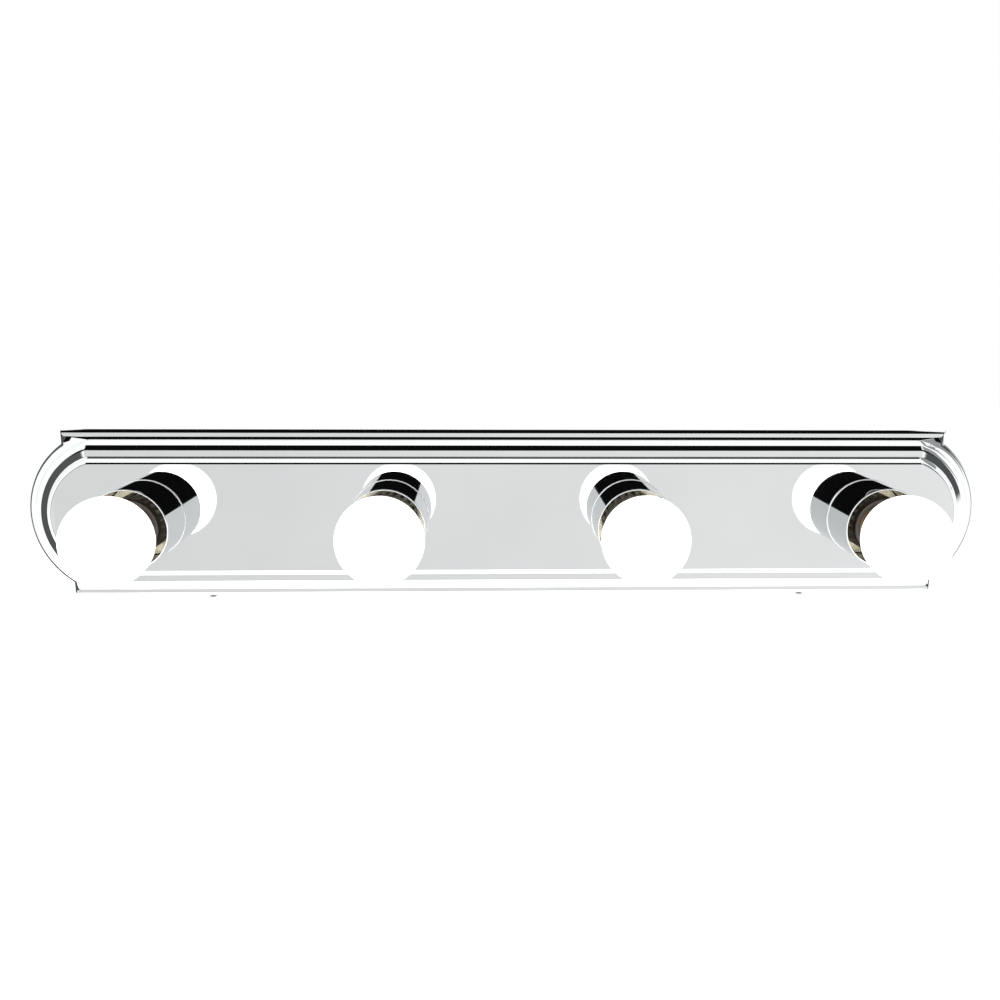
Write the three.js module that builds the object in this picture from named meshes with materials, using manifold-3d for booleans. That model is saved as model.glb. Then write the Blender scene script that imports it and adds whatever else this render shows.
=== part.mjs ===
// Four-light vanity bar: a stamped racetrack cover on a wall pan, with four socket cups,
// lampholders and screw-in globe bulbs.
//
// Millimetres. +X runs along the bar to the viewer's right, +Z is up, and the bar stands
// off the wall towards -Y. The origin is the centre of the pan's back face, on the wall.
// "Depth" is the distance out from the wall, so a point at depth d has y = -d.

import * as THREE from 'three';
import { mergeVertices } from 'three/addons/utils/BufferGeometryUtils.js';
import Module from 'manifold-3d';

const wasm = await Module();
wasm.setup();

// ---- Driving dimensions --------------------------------------------------------------

const GAP = 0.3; // between pieces that rest on each other
const HOLE_CLEARANCE = 0.4; // all round a tube or screw in its hole

// Cover
const coverLength = 601.2;
const coverHeight = 107.6;
const sheet = 0.8; // cover and pan sheet metal
const endOverhang = 2.2; // end arc's radius over half the height
const earSetback = 24.6; // from the bar's end to the end of the straight rails
const skirtDepth = 8.2; // from the wall to the outer rail
const faceDepth = 21; // from the wall to the flat mirror field
// Moulding section: inset from the edge, and depth as a share of the rise to the field.
const railWidth = 5.5;
const mouldingSteps = [
  { inset: 6.3, rise: 0.1 },
  { inset: 8.6, rise: 0.52 },
  { inset: 11, rise: 0.66 },
  { inset: 15.6, rise: 0.74 },
  { inset: 17.2, rise: 0.98 },
];
const fieldInset = 20; // where the flat field starts

// Lights
const lightCount = 4;
const endMargin = 77.7; // from the bar's end to the first light
const cupRadius = 23.8;
const cupLength = 32.3;
const cupWall = 0.8;
const cupRimRoll = 0.6; // how far the rolled rim stands in from the wall
const cupFoot = 1.2; // corner radius at the foot

// Lampholder
const holderHeight = 28.4;
const holderWall = 3.25;
const holderFloor = 2;
const holderChamber = 4.2; // wiring room below the web
const holderWeb = 2.4;
const rivetRadius = 1.8;
const shellSheet = 0.45;
const shellSetback = 1; // screw shell's lip below the holder's lip
const shellFlangeReach = 4; // inward flange, from the cap's radius
const contactHeight = 2.4;
const contactWidth = 7;
const contactLength = 11;
const tongueShare = 0.75; // of the contact's length that the tongue covers
const rivetTail = 1; // rivet standing out behind the web

// Bulb
const globeRadius = 25;
const glassWall = 1;
const capRadius = 13.1; // screw cap
const capLength = 21;
const capSheet = 0.4;
const threadClearance = 0.4; // between cap and screw shell
const tipRadius = 4.8;
const tipHeight = 1.3;
const insulatorHeight = 2.8;
const neckBury = 9; // glass neck inside the cap
const neckFlare = 2.4; // how far the glass stands past the cap where it meets the globe
const neckRise = 3.6; // from the cap to where the neck meets the globe
const neckStep = 0.4; // glass shoulder over the cap's rim
const capFloorReach = 4.5; // cap's floor, in from its radius
const capCorner = 1.2; // bevel round the cap's floor
const insulatorBury = 2; // insulator inside the cap
const tipCrown = { radius: 0.6, edge: 0.7, rise: 0.15 }; // crown of the tip, as shares of its size

// Nipple and nut
const nippleRadius = 5.1;
const nippleBore = 3.5;
const nutAcross = 14.3;
const nutThickness = 3;
const nippleTail = 1.4; // thread showing behind the nut

// Pan
const panSetback = 32.6; // from the bar's end to the pan's end
const flangeSetback = 1.2; // from the pan's flanges to the back of the rail
const hookWidth = 20;
const hookInset = 118; // from the pan's end
const hookReach = 3.4;
const screwInset = 78; // from the pan's end
const screwRadius = 1.9;
const screwLength = 6.5;
const screwHeadRadius = 3.2;
const screwHeadHeight = 1.2;
const headCrown = { radius: 0.7, rise: 0.4 }; // crown of a screw head, as shares of its size
const keyholeInset = 78; // from the pan's end
const keyholeHeight = 20; // above the centre line
const keyholeRadius = 4.6;
const keySlotWidth = 4.6;
const keySlotRise = 9;
const boxSlotInner = 33; // outlet box slots, from the centre
const boxSlotOuter = 45;
const boxSlotWidth = 4.8;
const wireHoleRadius = 11;
const wireHoleX = -32;
const bushWall = 1.6;
const bushFlange = 2;

// Leads
const leadRadius = 1.1;
const lanePitch = 3.4;
const firstLane = 10.5; // from the centre line
const laneDepth = 9.4;
const laneStagger = 1.4; // half the spread of a bundle of leads
const bendRadius = 6;
const bendShare = 0.45; // most of a straight run that a bend may take at each end
const spliceX = 27;
const spliceHeight = 19.5; // mouth of the wire nuts, from the centre line
const leadBury = 6; // lead inside a wire nut
const leadSetback = 2.4; // lead's end below the holder's web
const leadOffset = 0.45; // lead's place in the nipple, as a share of the bore
const nutMouth = 4.6;
const nutTip = 3;
const wireNutLength = 17;
const wireNutWall = 1.2;
const wireNutRoot = 1; // solid past the ends of the leads
const wireNutSkirt = { flare: 0.6, height: 0.25 }; // widest place, past the mouth and along the length
const groundScrewX = 52;
const groundScrewRadius = 2.4;
const groundHeadRadius = 4.6;
const groundHeadHeight = 2.2;
const groundNutX = 92;
const groundNutDepth = 6.6;
const groundLaneDepth = 4.6; // passes under the socket leads

// ---- Derived places ------------------------------------------------------------------

const halfHeight = coverHeight / 2;
const endRadius = halfHeight + endOverhang;
const arcCentreX = coverLength / 2 - endRadius;
const earEndX = coverLength / 2 - earSetback;
const rise = faceDepth - skirtDepth;
const fieldHoleRadius = nippleRadius + HOLE_CLEARANCE;

const cupBack = faceDepth + GAP;
const cupFront = cupBack + cupLength;
const holderBack = cupBack + cupWall + GAP;
const webBack = holderBack + holderFloor + holderChamber;
const webFront = webBack + holderWeb;
const holderFront = holderBack + holderHeight;
const contactBack = webFront + GAP;
const tipBack = contactBack + contactHeight + GAP;
const insulatorBack = tipBack + tipHeight;
const capBack = insulatorBack + insulatorHeight;
const capFront = capBack + capLength;
const neckAngle = Math.asin((capRadius + neckFlare) / globeRadius); // where the neck meets the globe
const globeCentre = capFront + neckRise + globeRadius * Math.cos(neckAngle);
const capFloorHole = capRadius - capFloorReach;
const shellInner = capRadius + threadClearance;
const shellOuter = shellInner + shellSheet;
const holderBore = shellOuter + GAP;
const holderRadius = holderBore + holderWall;

const nutFront = faceDepth - sheet - GAP;
const nutBack = nutFront - nutThickness;
const nippleBack = nutBack - nippleTail;
const nippleFront = holderBack + holderFloor - GAP;

const flangeTop = halfHeight - sheet - HOLE_CLEARANCE;
const panFlange = skirtDepth - sheet - flangeSetback; // fold height, from the wall
const panHalfLength = coverLength / 2 - panSetback;
const hookDepth = panFlange / 2;
const screwDepth = panFlange / 2 + sheet / 2;
const hookX = panHalfLength - hookInset;
const screwX = panHalfLength - screwInset;
const keyholeX = panHalfLength - keyholeInset;

const lightSpacing = (coverLength - 2 * endMargin) / (lightCount - 1);
const lightXs = Array.from({ length: lightCount }, (_, i) => (i - (lightCount - 1) / 2) * lightSpacing);

// ---- Finishes ------------------------------------------------------------------------

const finish = (color, roughness, metalness) => new THREE.MeshStandardMaterial({ color, roughness, metalness });

const finishes = {
  chrome: finish(0xdde0e2, 0.05, 1),
  galvanised: finish(0xa9adb0, 0.45, 1),
  phenolic: finish(0x2a211c, 0.35, 0),
  brass: finish(0xc9a24e, 0.3, 1),
  capMetal: finish(0xc4c2bb, 0.3, 1),
  opal: finish(0xfbfaf6, 0.25, 0),
  blackGlass: finish(0x17161a, 0.15, 0),
  zinc: finish(0xb7b9b5, 0.35, 1),
  hotLead: finish(0x1b1b1d, 0.5, 0),
  neutralLead: finish(0xe9e7e0, 0.5, 0),
  groundLead: finish(0x2c7a3f, 0.5, 0),
  nutRed: finish(0xb3402c, 0.5, 0),
  nutGreen: finish(0x2f7d45, 0.5, 0),
  rubber: finish(0x202123, 0.8, 0),
};

// ---- Solid helpers -------------------------------------------------------------------

// Merges shared vertices, drops slivers and turns the faces outwards.
function tidy(source) {
  const geometry = source.index ? source : source.clone();
  geometry.deleteAttribute('normal');
  geometry.deleteAttribute('uv');
  const merged = mergeVertices(geometry, 1e-4);
  const p = merged.attributes.position;
  const index = merged.index.array;
  const kept = [];
  let volume = 0;
  const [a, b, c] = [new THREE.Vector3(), new THREE.Vector3(), new THREE.Vector3()];
  for (let i = 0; i < index.length; i += 3) {
    const [ia, ib, ic] = [index[i], index[i + 1], index[i + 2]];
    if (ia === ib || ib === ic || ic === ia) continue;
    kept.push(ia, ib, ic);
    a.fromBufferAttribute(p, ia);
    b.fromBufferAttribute(p, ib);
    c.fromBufferAttribute(p, ic);
    volume += a.dot(b.cross(c));
  }
  if (volume < 0) kept.reverse();
  merged.setIndex(kept);
  return merged;
}

function toSolid(geometry) {
  const clean = tidy(geometry);
  return new wasm.Manifold(new wasm.Mesh({
    numProp: 3,
    vertProperties: new Float32Array(clean.attributes.position.array),
    triVerts: new Uint32Array(clean.index.array),
  }));
}

function toGeometry(solid) {
  const mesh = solid.getMesh();
  const geometry = new THREE.BufferGeometry();
  geometry.setAttribute('position', new THREE.BufferAttribute(mesh.vertProperties, 3));
  geometry.setIndex(new THREE.BufferAttribute(mesh.triVerts, 1));
  geometry.computeVertexNormals();
  return geometry;
}

const join = (...solids) => solids.reduce((all, next) => all.add(next));
const cut = (base, ...tools) => tools.reduce((rest, tool) => rest.subtract(tool), base);

// Block between two corners given as [x, depth, z].
function block(low, high) {
  const size = high.map((value, i) => value - low[i]);
  const geometry = new THREE.BoxGeometry(...size);
  geometry.translate(low[0] + size[0] / 2, -(low[1] + size[1] / 2), low[2] + size[2] / 2);
  return toSolid(geometry);
}

// Flat shape drawn in X and Z, filled between two depths.
function plate(shape, depthA, depthB, curveSegments = 10) {
  const geometry = new THREE.ExtrudeGeometry(shape, { depth: depthB - depthA, bevelEnabled: false, curveSegments });
  geometry.rotateX(Math.PI / 2);
  geometry.translate(0, -depthA, 0);
  return toSolid(geometry);
}

// Round solid about the axis x, with a section of [radius, depth] points.
function turned(section, x = 0, segments = 16) {
  const points = section.map(([radius, depth]) => new THREE.Vector2(radius, depth));
  if (section[0][0] > 0) points.push(points[0].clone());
  const geometry = new THREE.LatheGeometry(points, segments);
  geometry.rotateX(Math.PI);
  geometry.translate(x, 0, 0);
  return tidy(geometry);
}

const cylinder = (radius, depthA, depthB, x = 0, z = 0, segments = 16) => {
  const section = [[0, depthA], [radius, depthA], [radius, depthB], [0, depthB]];
  const geometry = turned(section, x, segments);
  geometry.translate(0, 0, z);
  return toSolid(geometry);
};

// ---- Cover ---------------------------------------------------------------------------

// Outline at an inset: straight rails cut off by the end arcs, or run out past them to
// square ears when ears is true.
function outline(inset, ears) {
  const radius = endRadius - inset;
  const z = halfHeight - inset;
  const earX = earEndX - inset;
  const angle = ears ? Math.acos((earX - arcCentreX) / radius) : Math.asin(z / radius);
  const shape = new THREE.Shape();
  if (ears) {
    shape.moveTo(-earX, -z);
    shape.lineTo(earX, -z);
  }
  shape.absarc(arcCentreX, 0, radius, -angle, angle, false);
  if (ears) {
    shape.lineTo(earX, z);
    shape.lineTo(-earX, z);
  }
  shape.absarc(-arcCentreX, 0, radius, Math.PI - angle, Math.PI + angle, false);
  return shape;
}

function withHole(shape, hole) {
  shape.holes.push(hole);
  return shape;
}

// Points of the arc-ended loop at an inset, the same number at every inset.
function loopPoints(inset, arcSteps = 10) {
  const radius = endRadius - inset;
  const angle = Math.asin((halfHeight - inset) / radius);
  const points = [];
  for (const side of [1, -1]) {
    for (let i = 0; i <= arcSteps; i += 1) {
      const a = angle * (1 - (2 * i) / arcSteps);
      points.push([side * (arcCentreX + radius * Math.cos(a)), side * radius * Math.sin(a)]);
    }
  }
  return points;
}

// Closed band that carries a section of [inset, depth] points round the loop.
function mouldedBand(section) {
  const loops = section.map(([inset]) => loopPoints(inset));
  const count = loops[0].length;
  const positions = [];
  loops.forEach((loop, i) => loop.forEach(([x, z]) => positions.push(x, -section[i][1], z)));
  const index = [];
  for (let i = 0; i < loops.length; i += 1) {
    const next = (i + 1) % loops.length;
    for (let j = 0; j < count; j += 1) {
      const across = (j + 1) % count;
      index.push(i * count + j, i * count + across, next * count + j);
      index.push(next * count + j, i * count + across, next * count + across);
    }
  }
  const geometry = new THREE.BufferGeometry();
  geometry.setAttribute('position', new THREE.Float32BufferAttribute(positions, 3));
  geometry.setIndex(index);
  return toSolid(geometry);
}

// The sheet's front surface as [inset, depth] points, then its back surface.
function mouldingSection() {
  const front = [
    [railWidth, skirtDepth],
    ...mouldingSteps.map(({ inset, rise: share }) => [inset, skirtDepth + rise * share]),
    [fieldInset, faceDepth],
  ];
  const back = front.map(([inset, depth], i) => {
    const before = front[Math.max(i - 1, 0)];
    const after = front[Math.min(i + 1, front.length - 1)];
    const slope = new THREE.Vector2(after[0] - before[0], after[1] - before[1]).normalize();
    return [inset + slope.y * sheet, depth - slope.x * sheet];
  });
  back[0] = [railWidth, skirtDepth - sheet];
  back[back.length - 1] = [fieldInset, faceDepth - sheet];
  return [...front, ...back.reverse()];
}

function faceCover() {
  const skirt = plate(withHole(outline(0, true), outline(sheet, true)), 0, skirtDepth);
  const rail = plate(withHole(outline(0, true), outline(railWidth + sheet, false)), skirtDepth - sheet, skirtDepth);
  const field = plate(outline(fieldInset - sheet, false), faceDepth - sheet, faceDepth);
  const hooks = [-1, 1].map((side) => block(
    [side * hookX - hookWidth / 2, hookDepth, flangeTop - hookReach],
    [side * hookX + hookWidth / 2, hookDepth + sheet, halfHeight - sheet / 2],
  ));
  const shell = join(skirt, rail, mouldedBand(mouldingSection()), field, ...hooks);
  const nippleHoles = lightXs.map((x) => cylinder(fieldHoleRadius, faceDepth - 2 * sheet, faceDepth + sheet, x));
  const screwHoles = [-1, 1].map((side) => screwHole(side));
  return toGeometry(cut(shell, ...nippleHoles, ...screwHoles));
}

// Upright cylinder below the cover, through its lower skirt and the pan's lower flange.
function screwHole(side) {
  const height = screwLength + screwHeadHeight;
  const geometry = new THREE.CylinderGeometry(screwRadius + HOLE_CLEARANCE, screwRadius + HOLE_CLEARANCE, height, 16);
  geometry.rotateX(Math.PI / 2);
  geometry.translate(side * screwX, -screwDepth, -halfHeight + height / 2 - screwHeadHeight);
  return toSolid(geometry);
}

// Pan-head screw standing up through the lower skirt.
function coverScrew(side) {
  const headBack = -halfHeight - GAP;
  const section = [
    [0, headBack - screwHeadHeight],
    [screwHeadRadius * headCrown.radius, headBack - screwHeadHeight],
    [screwHeadRadius, headBack - screwHeadHeight * headCrown.rise],
    [screwHeadRadius, headBack],
    [screwRadius, headBack],
    [screwRadius, headBack + screwLength],
    [0, headBack + screwLength],
  ];
  const geometry = new THREE.LatheGeometry(section.map(([r, z]) => new THREE.Vector2(r, z)), 12);
  geometry.rotateX(Math.PI / 2);
  geometry.translate(side * screwX, -screwDepth, 0);
  return tidy(geometry);
}

// ---- Pan -----------------------------------------------------------------------------

function slotShape(xCentre, zLow, zHigh, width) {
  const radius = width / 2;
  const shape = new THREE.Shape();
  shape.absarc(xCentre, zHigh - radius, radius, 0, Math.PI, false);
  shape.absarc(xCentre, zLow + radius, radius, Math.PI, 2 * Math.PI, false);
  return shape;
}

function backPan() {
  const base = block([-panHalfLength, 0, -flangeTop], [panHalfLength, sheet, flangeTop]);
  const flanges = [-1, 1].flatMap((side) => [
    block(
      [-panHalfLength, 0, side > 0 ? flangeTop - sheet : -flangeTop],
      [panHalfLength, panFlange, side > 0 ? flangeTop : -flangeTop + sheet],
    ),
    block(
      [side > 0 ? panHalfLength - sheet : -panHalfLength, 0, -flangeTop],
      [side > 0 ? panHalfLength : -panHalfLength + sheet, panFlange, flangeTop],
    ),
  ]);
  const through = (shape) => plate(shape, -sheet, 2 * sheet, 6);
  const boxSlots = [1, -1].map((side) => {
    const ends = [side * boxSlotInner, side * boxSlotOuter].sort((a, b) => a - b);
    return through(slotShape(0, ends[0], ends[1], boxSlotWidth));
  });
  const keyholes = [-1, 1].flatMap((side) => {
    const x = side * keyholeX;
    return [
      cylinder(keyholeRadius, -sheet, 2 * sheet, x, keyholeHeight, 12),
      through(slotShape(x, keyholeHeight, keyholeHeight + keySlotRise + keySlotWidth / 2, keySlotWidth)),
    ];
  });
  const hookSlots = [-1, 1].map((side) => block(
    [side * hookX - hookWidth / 2 - HOLE_CLEARANCE, hookDepth - HOLE_CLEARANCE, flangeTop - 2 * sheet],
    [side * hookX + hookWidth / 2 + HOLE_CLEARANCE, hookDepth + sheet + HOLE_CLEARANCE, flangeTop + sheet],
  ));
  const screwHoles = [-1, 1].map((side) => screwHole(side));
  const holes = [
    cylinder(wireHoleRadius, -sheet, 2 * sheet, wireHoleX),
    cylinder(groundScrewRadius + HOLE_CLEARANCE, -sheet, 2 * sheet, groundScrewX, 0, 16),
  ];
  return toGeometry(cut(join(base, ...flanges), ...boxSlots, ...keyholes, ...hookSlots, ...screwHoles, ...holes));
}

// Snap-in bush that lines the wire hole: a sleeve with a flange inside the pan.
function wireBush() {
  const outer = wireHoleRadius - GAP;
  const inner = outer - bushWall;
  return turned([
    [inner, GAP],
    [outer, GAP],
    [outer, sheet + GAP],
    [outer + bushFlange, sheet + GAP],
    [outer + bushFlange, sheet + GAP + bushWall],
    [inner, sheet + GAP + bushWall],
  ], wireHoleX);
}

// ---- One light -----------------------------------------------------------------------

function socketCup(x) {
  const inner = cupRadius - cupWall;
  const rim = cupRimRoll;
  return turned([
    [fieldHoleRadius, cupBack],
    [cupRadius - cupFoot, cupBack],
    [cupRadius, cupBack + cupFoot],
    [cupRadius, cupFront - rim],
    [cupRadius - rim, cupFront],
    [inner - rim, cupFront],
    [inner - rim, cupFront - rim * 2],
    [inner, cupFront - rim * 2],
    [inner, cupBack + cupWall],
    [fieldHoleRadius, cupBack + cupWall],
  ], x, 24);
}

function lampholderBody(x) {
  const hub = nippleRadius + HOLE_CLEARANCE;
  return turned([
    [hub, holderBack],
    [holderRadius, holderBack],
    [holderRadius, holderFront],
    [holderBore, holderFront],
    [holderBore, webFront],
    [rivetRadius + GAP, webFront],
    [rivetRadius + GAP, webBack],
    [holderRadius - holderWall, webBack],
    [holderRadius - holderWall, holderBack + holderFloor],
    [hub, holderBack + holderFloor],
  ], x);
}

// Threaded shell with an inward flange that is riveted to the web.
function screwShell(x) {
  const back = webFront + GAP;
  const flange = capRadius - shellFlangeReach;
  return turned([
    [flange, back],
    [shellOuter, back],
    [shellOuter, holderFront - shellSetback],
    [shellInner, holderFront - shellSetback],
    [shellInner, back + shellSheet],
    [flange, back + shellSheet],
  ], x);
}

// Rivet through the web with a raised contact tongue on it.
function centreContact(x) {
  const rivet = cylinder(rivetRadius, webBack - rivetTail, contactBack + shellSheet, x, 0, 12);
  const foot = block(
    [x - contactLength / 2, contactBack, -contactWidth / 2],
    [x + contactLength / 2, contactBack + shellSheet, contactWidth / 2],
  );
  const leg = block(
    [x - contactLength / 2, contactBack, -contactWidth / 2],
    [x - contactLength / 2 + shellSheet, contactBack + contactHeight, contactWidth / 2],
  );
  const tongue = block(
    [x - contactLength / 2, contactBack + contactHeight - shellSheet, -contactWidth / 2],
    [x + contactLength * (tongueShare - 0.5), contactBack + contactHeight, contactWidth / 2],
  );
  return toGeometry(join(rivet, foot, leg, tongue));
}

function socketNipple(x) {
  return turned([
    [nippleBore, nippleBack],
    [nippleRadius, nippleBack],
    [nippleRadius, nippleFront],
    [nippleBore, nippleFront],
  ], x);
}

function lockNut(x) {
  const shape = new THREE.Shape();
  const corner = nutAcross / Math.sqrt(3);
  for (let i = 0; i < 6; i += 1) {
    const angle = (i * Math.PI) / 3;
    const [px, pz] = [x + corner * Math.cos(angle), corner * Math.sin(angle)];
    if (i === 0) shape.moveTo(px, pz);
    else shape.lineTo(px, pz);
  }
  shape.closePath();
  const hole = new THREE.Path().absarc(x, 0, nippleRadius + GAP, 0, 2 * Math.PI, false);
  shape.holes.push(hole);
  return toGeometry(plate(shape, nutBack, nutFront, 8));
}

// ---- One bulb ------------------------------------------------------------------------

// Glass globe with a short neck, open where the neck sits in the cap.
function bulbGlobe(x) {
  const neck = capRadius - capSheet - GAP;
  const neckBack = capFront - neckBury;
  const shoulder = capRadius + neckStep;
  const shoulderDepth = capFront + GAP;
  const outer = [[neck, neckBack], [neck, shoulderDepth], [shoulder, shoulderDepth]];
  const inner = [[neck - glassWall, neckBack]];
  const steps = 7;
  for (let i = 0; i <= steps; i += 1) {
    const angle = neckAngle + ((Math.PI - neckAngle) * i) / steps;
    const [sin, cos] = [i === steps ? 0 : Math.sin(angle), Math.cos(angle)];
    outer.push([globeRadius * sin, globeCentre - globeRadius * cos]);
    inner.push([(globeRadius - glassWall) * sin, globeCentre - (globeRadius - glassWall) * cos]);
  }
  return turned([...inner.reverse(), ...outer], x, 20);
}

// Screw cap with a floor that holds the insulator.
function bulbCap(x) {
  return turned([
    [capFloorHole, capBack],
    [capRadius - capCorner, capBack],
    [capRadius, capBack + capCorner],
    [capRadius, capFront],
    [capRadius - capSheet, capFront],
    [capRadius - capSheet, capBack + capSheet + capCorner / 2],
    [capFloorHole, capBack + capSheet],
  ], x);
}

function bulbInsulator(x) {
  return turned([
    [tipRadius / 2 + GAP, insulatorBack + GAP],
    [tipRadius, insulatorBack + GAP],
    [capFloorHole - GAP, capBack - GAP],
    [capFloorHole - GAP, capBack + insulatorBury],
    [tipRadius / 2 + GAP, capBack + insulatorBury],
  ], x, 12);
}

function bulbTip(x) {
  return turned([
    [0, tipBack],
    [tipRadius * tipCrown.radius, tipBack + tipHeight * tipCrown.rise],
    [tipRadius, tipBack + tipHeight * tipCrown.edge],
    [tipRadius, tipBack + tipHeight],
    [tipRadius / 2, tipBack + tipHeight],
    [tipRadius / 2, tipBack + tipHeight + insulatorHeight],
    [0, tipBack + tipHeight + insulatorHeight],
  ], x, 12);
}

// ---- Leads ---------------------------------------------------------------------------

// Tube along a path of [x, depth, z] corners, each rounded to the bend radius.
function leadTube(corners, radius = leadRadius) {
  const points = corners.map(([x, depth, z]) => new THREE.Vector3(x, -depth, z));
  const path = new THREE.CurvePath();
  let from = points[0];
  for (let i = 1; i < points.length - 1; i += 1) {
    const back = points[i - 1].clone().sub(points[i]);
    const ahead = points[i + 1].clone().sub(points[i]);
    const reach = Math.min(bendRadius, back.length() * bendShare, ahead.length() * bendShare);
    const start = points[i].clone().add(back.setLength(reach));
    const end = points[i].clone().add(ahead.setLength(reach));
    path.add(new THREE.LineCurve3(from, start));
    path.add(new THREE.QuadraticBezierCurve3(start, points[i], end));
    from = end;
  }
  path.add(new THREE.LineCurve3(from, points[points.length - 1]));
  return sweep(path.curves, radius);
}

// Round tube whose rings stand square to the path at the joints and within each bend.
function sweep(curves, radius, sides = 8, bendSteps = 3) {
  const stations = [];
  curves.forEach((curve, i) => {
    const steps = curve.isLineCurve3 ? 1 : bendSteps;
    for (let s = i === 0 ? 0 : 1; s <= steps; s += 1) {
      const t = s / steps;
      stations.push({ point: curve.getPoint(t), tangent: curve.getTangent(t).normalize() });
    }
  });
  const positions = [];
  const index = [];
  let normal = new THREE.Vector3(0, 0, 1).cross(stations[0].tangent);
  if (normal.length() < 0.1) normal = new THREE.Vector3(1, 0, 0).cross(stations[0].tangent);
  normal.normalize();
  stations.forEach(({ point, tangent }) => {
    normal = normal.clone().addScaledVector(tangent, -normal.dot(tangent)).normalize();
    const binormal = tangent.clone().cross(normal);
    for (let k = 0; k < sides; k += 1) {
      const angle = (2 * Math.PI * k) / sides;
      const place = point.clone()
        .addScaledVector(normal, radius * Math.cos(angle))
        .addScaledVector(binormal, radius * Math.sin(angle));
      positions.push(place.x, place.y, place.z);
    }
  });
  const last = stations.length - 1;
  for (let s = 0; s < last; s += 1) {
    for (let k = 0; k < sides; k += 1) {
      const [a, b] = [s * sides + k, s * sides + ((k + 1) % sides)];
      index.push(a, b, a + sides, b, b + sides, a + sides);
    }
  }
  for (let k = 1; k < sides - 1; k += 1) {
    index.push(0, k + 1, k);
    index.push(last * sides, last * sides + k, last * sides + k + 1);
  }
  const geometry = new THREE.BufferGeometry();
  geometry.setAttribute('position', new THREE.Float32BufferAttribute(positions, 3));
  geometry.setIndex(index);
  return tidy(geometry);
}

// Lead of light i: out of the holder, through its nipple, along its lane and into a wire
// nut. up is 1 for the hot lead, which runs above the centre line, and -1 for the neutral.
function socketLead(i, up) {
  const x = lightXs[i];
  const side = Math.sign(x - spliceX);
  const near = lightXs.filter((other) => Math.sign(other - spliceX) === side
    && Math.abs(other - spliceX) < Math.abs(x - spliceX)).length;
  const lane = up * (firstLane + near * lanePitch);
  const depth = laneDepth + (near % 2 === 0 ? laneStagger : -laneStagger);
  const bundleX = spliceX + side * laneStagger;
  const offset = up * nippleBore * leadOffset;
  return leadTube([
    [x, webBack - leadSetback, offset],
    [x, depth, offset],
    [x, depth, lane],
    [bundleX, depth, lane],
    [bundleX, depth, up * (spliceHeight + leadBury)],
  ]);
}

// Wire nut standing along Z, its mouth towards the centre line.
function wireNut(x, z, up, depth) {
  const section = [
    [0, leadBury + wireNutRoot],
    [nutMouth - wireNutWall, leadBury + wireNutRoot],
    [nutMouth - wireNutWall, 0],
    [nutMouth, 0],
    [nutMouth + wireNutSkirt.flare, wireNutLength * wireNutSkirt.height],
    [nutTip, wireNutLength],
    [0, wireNutLength],
  ];
  const geometry = new THREE.LatheGeometry(section.map(([r, h]) => new THREE.Vector2(r, h)), 12);
  geometry.rotateX(Math.PI / 2);
  if (up < 0) geometry.rotateX(Math.PI);
  geometry.translate(x, -depth, z);
  return tidy(geometry);
}

// Green bonding screw in the pan.
function groundScrew() {
  const section = [
    [0, GAP],
    [groundScrewRadius, GAP],
    [groundScrewRadius, sheet + 2 * leadRadius + 3 * GAP],
    [groundHeadRadius, sheet + 2 * leadRadius + 3 * GAP],
    [groundHeadRadius, sheet + 2 * leadRadius + groundHeadHeight],
    [groundHeadRadius * headCrown.radius, sheet + 2 * leadRadius + 3 * GAP + groundHeadHeight],
    [0, sheet + 2 * leadRadius + 3 * GAP + groundHeadHeight],
  ];
  return turned(section, groundScrewX, 12);
}

// Bonding lead: past the screw, under its head, and along to its wire nut.
function groundLead() {
  const depth = sheet + GAP + leadRadius;
  const beside = groundScrewRadius + leadRadius + GAP;
  return leadTube([
    [groundScrewX - groundHeadRadius, depth, -beside],
    [groundScrewX + groundHeadRadius + bendRadius, depth, -beside],
    [groundNutX, groundLaneDepth, -beside],
    [groundNutX, groundLaneDepth, -spliceHeight - leadBury],
  ]);
}

// ---- The bar -------------------------------------------------------------------------

const bar = new THREE.Group();

function add(name, geometry, material) {
  const mesh = new THREE.Mesh(geometry, material);
  mesh.name = name;
  bar.add(mesh);
}

add('back_pan', backPan(), finishes.galvanised);
add('wire_bush', wireBush(), finishes.rubber);
add('face_cover', faceCover(), finishes.chrome);
add('cover_screw_left', coverScrew(-1), finishes.zinc);
add('cover_screw_right', coverScrew(1), finishes.zinc);

lightXs.forEach((x, i) => {
  const n = i + 1;
  add(`socket_cup_${n}`, socketCup(x), finishes.chrome);
  add(`lampholder_body_${n}`, lampholderBody(x), finishes.phenolic);
  add(`screw_shell_${n}`, screwShell(x), finishes.brass);
  add(`centre_contact_${n}`, centreContact(x), finishes.brass);
  add(`socket_nipple_${n}`, socketNipple(x), finishes.zinc);
  add(`lock_nut_${n}`, lockNut(x), finishes.zinc);
  add(`bulb_globe_${n}`, bulbGlobe(x), finishes.opal);
  add(`bulb_cap_${n}`, bulbCap(x), finishes.capMetal);
  add(`bulb_insulator_${n}`, bulbInsulator(x), finishes.blackGlass);
  add(`bulb_tip_${n}`, bulbTip(x), finishes.brass);
  add(`hot_lead_${n}`, socketLead(i, 1), finishes.hotLead);
  add(`neutral_lead_${n}`, socketLead(i, -1), finishes.neutralLead);
});

add('wire_nut_hot', wireNut(spliceX, spliceHeight, 1, laneDepth), finishes.nutRed);
add('wire_nut_neutral', wireNut(spliceX, -spliceHeight, -1, laneDepth), finishes.nutRed);
add('wire_nut_ground', wireNut(groundNutX, -spliceHeight, -1, groundNutDepth), finishes.nutGreen);
add('ground_screw', groundScrew(), finishes.nutGreen);
add('ground_lead', groundLead(), finishes.groundLead);

export default bar;
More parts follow.
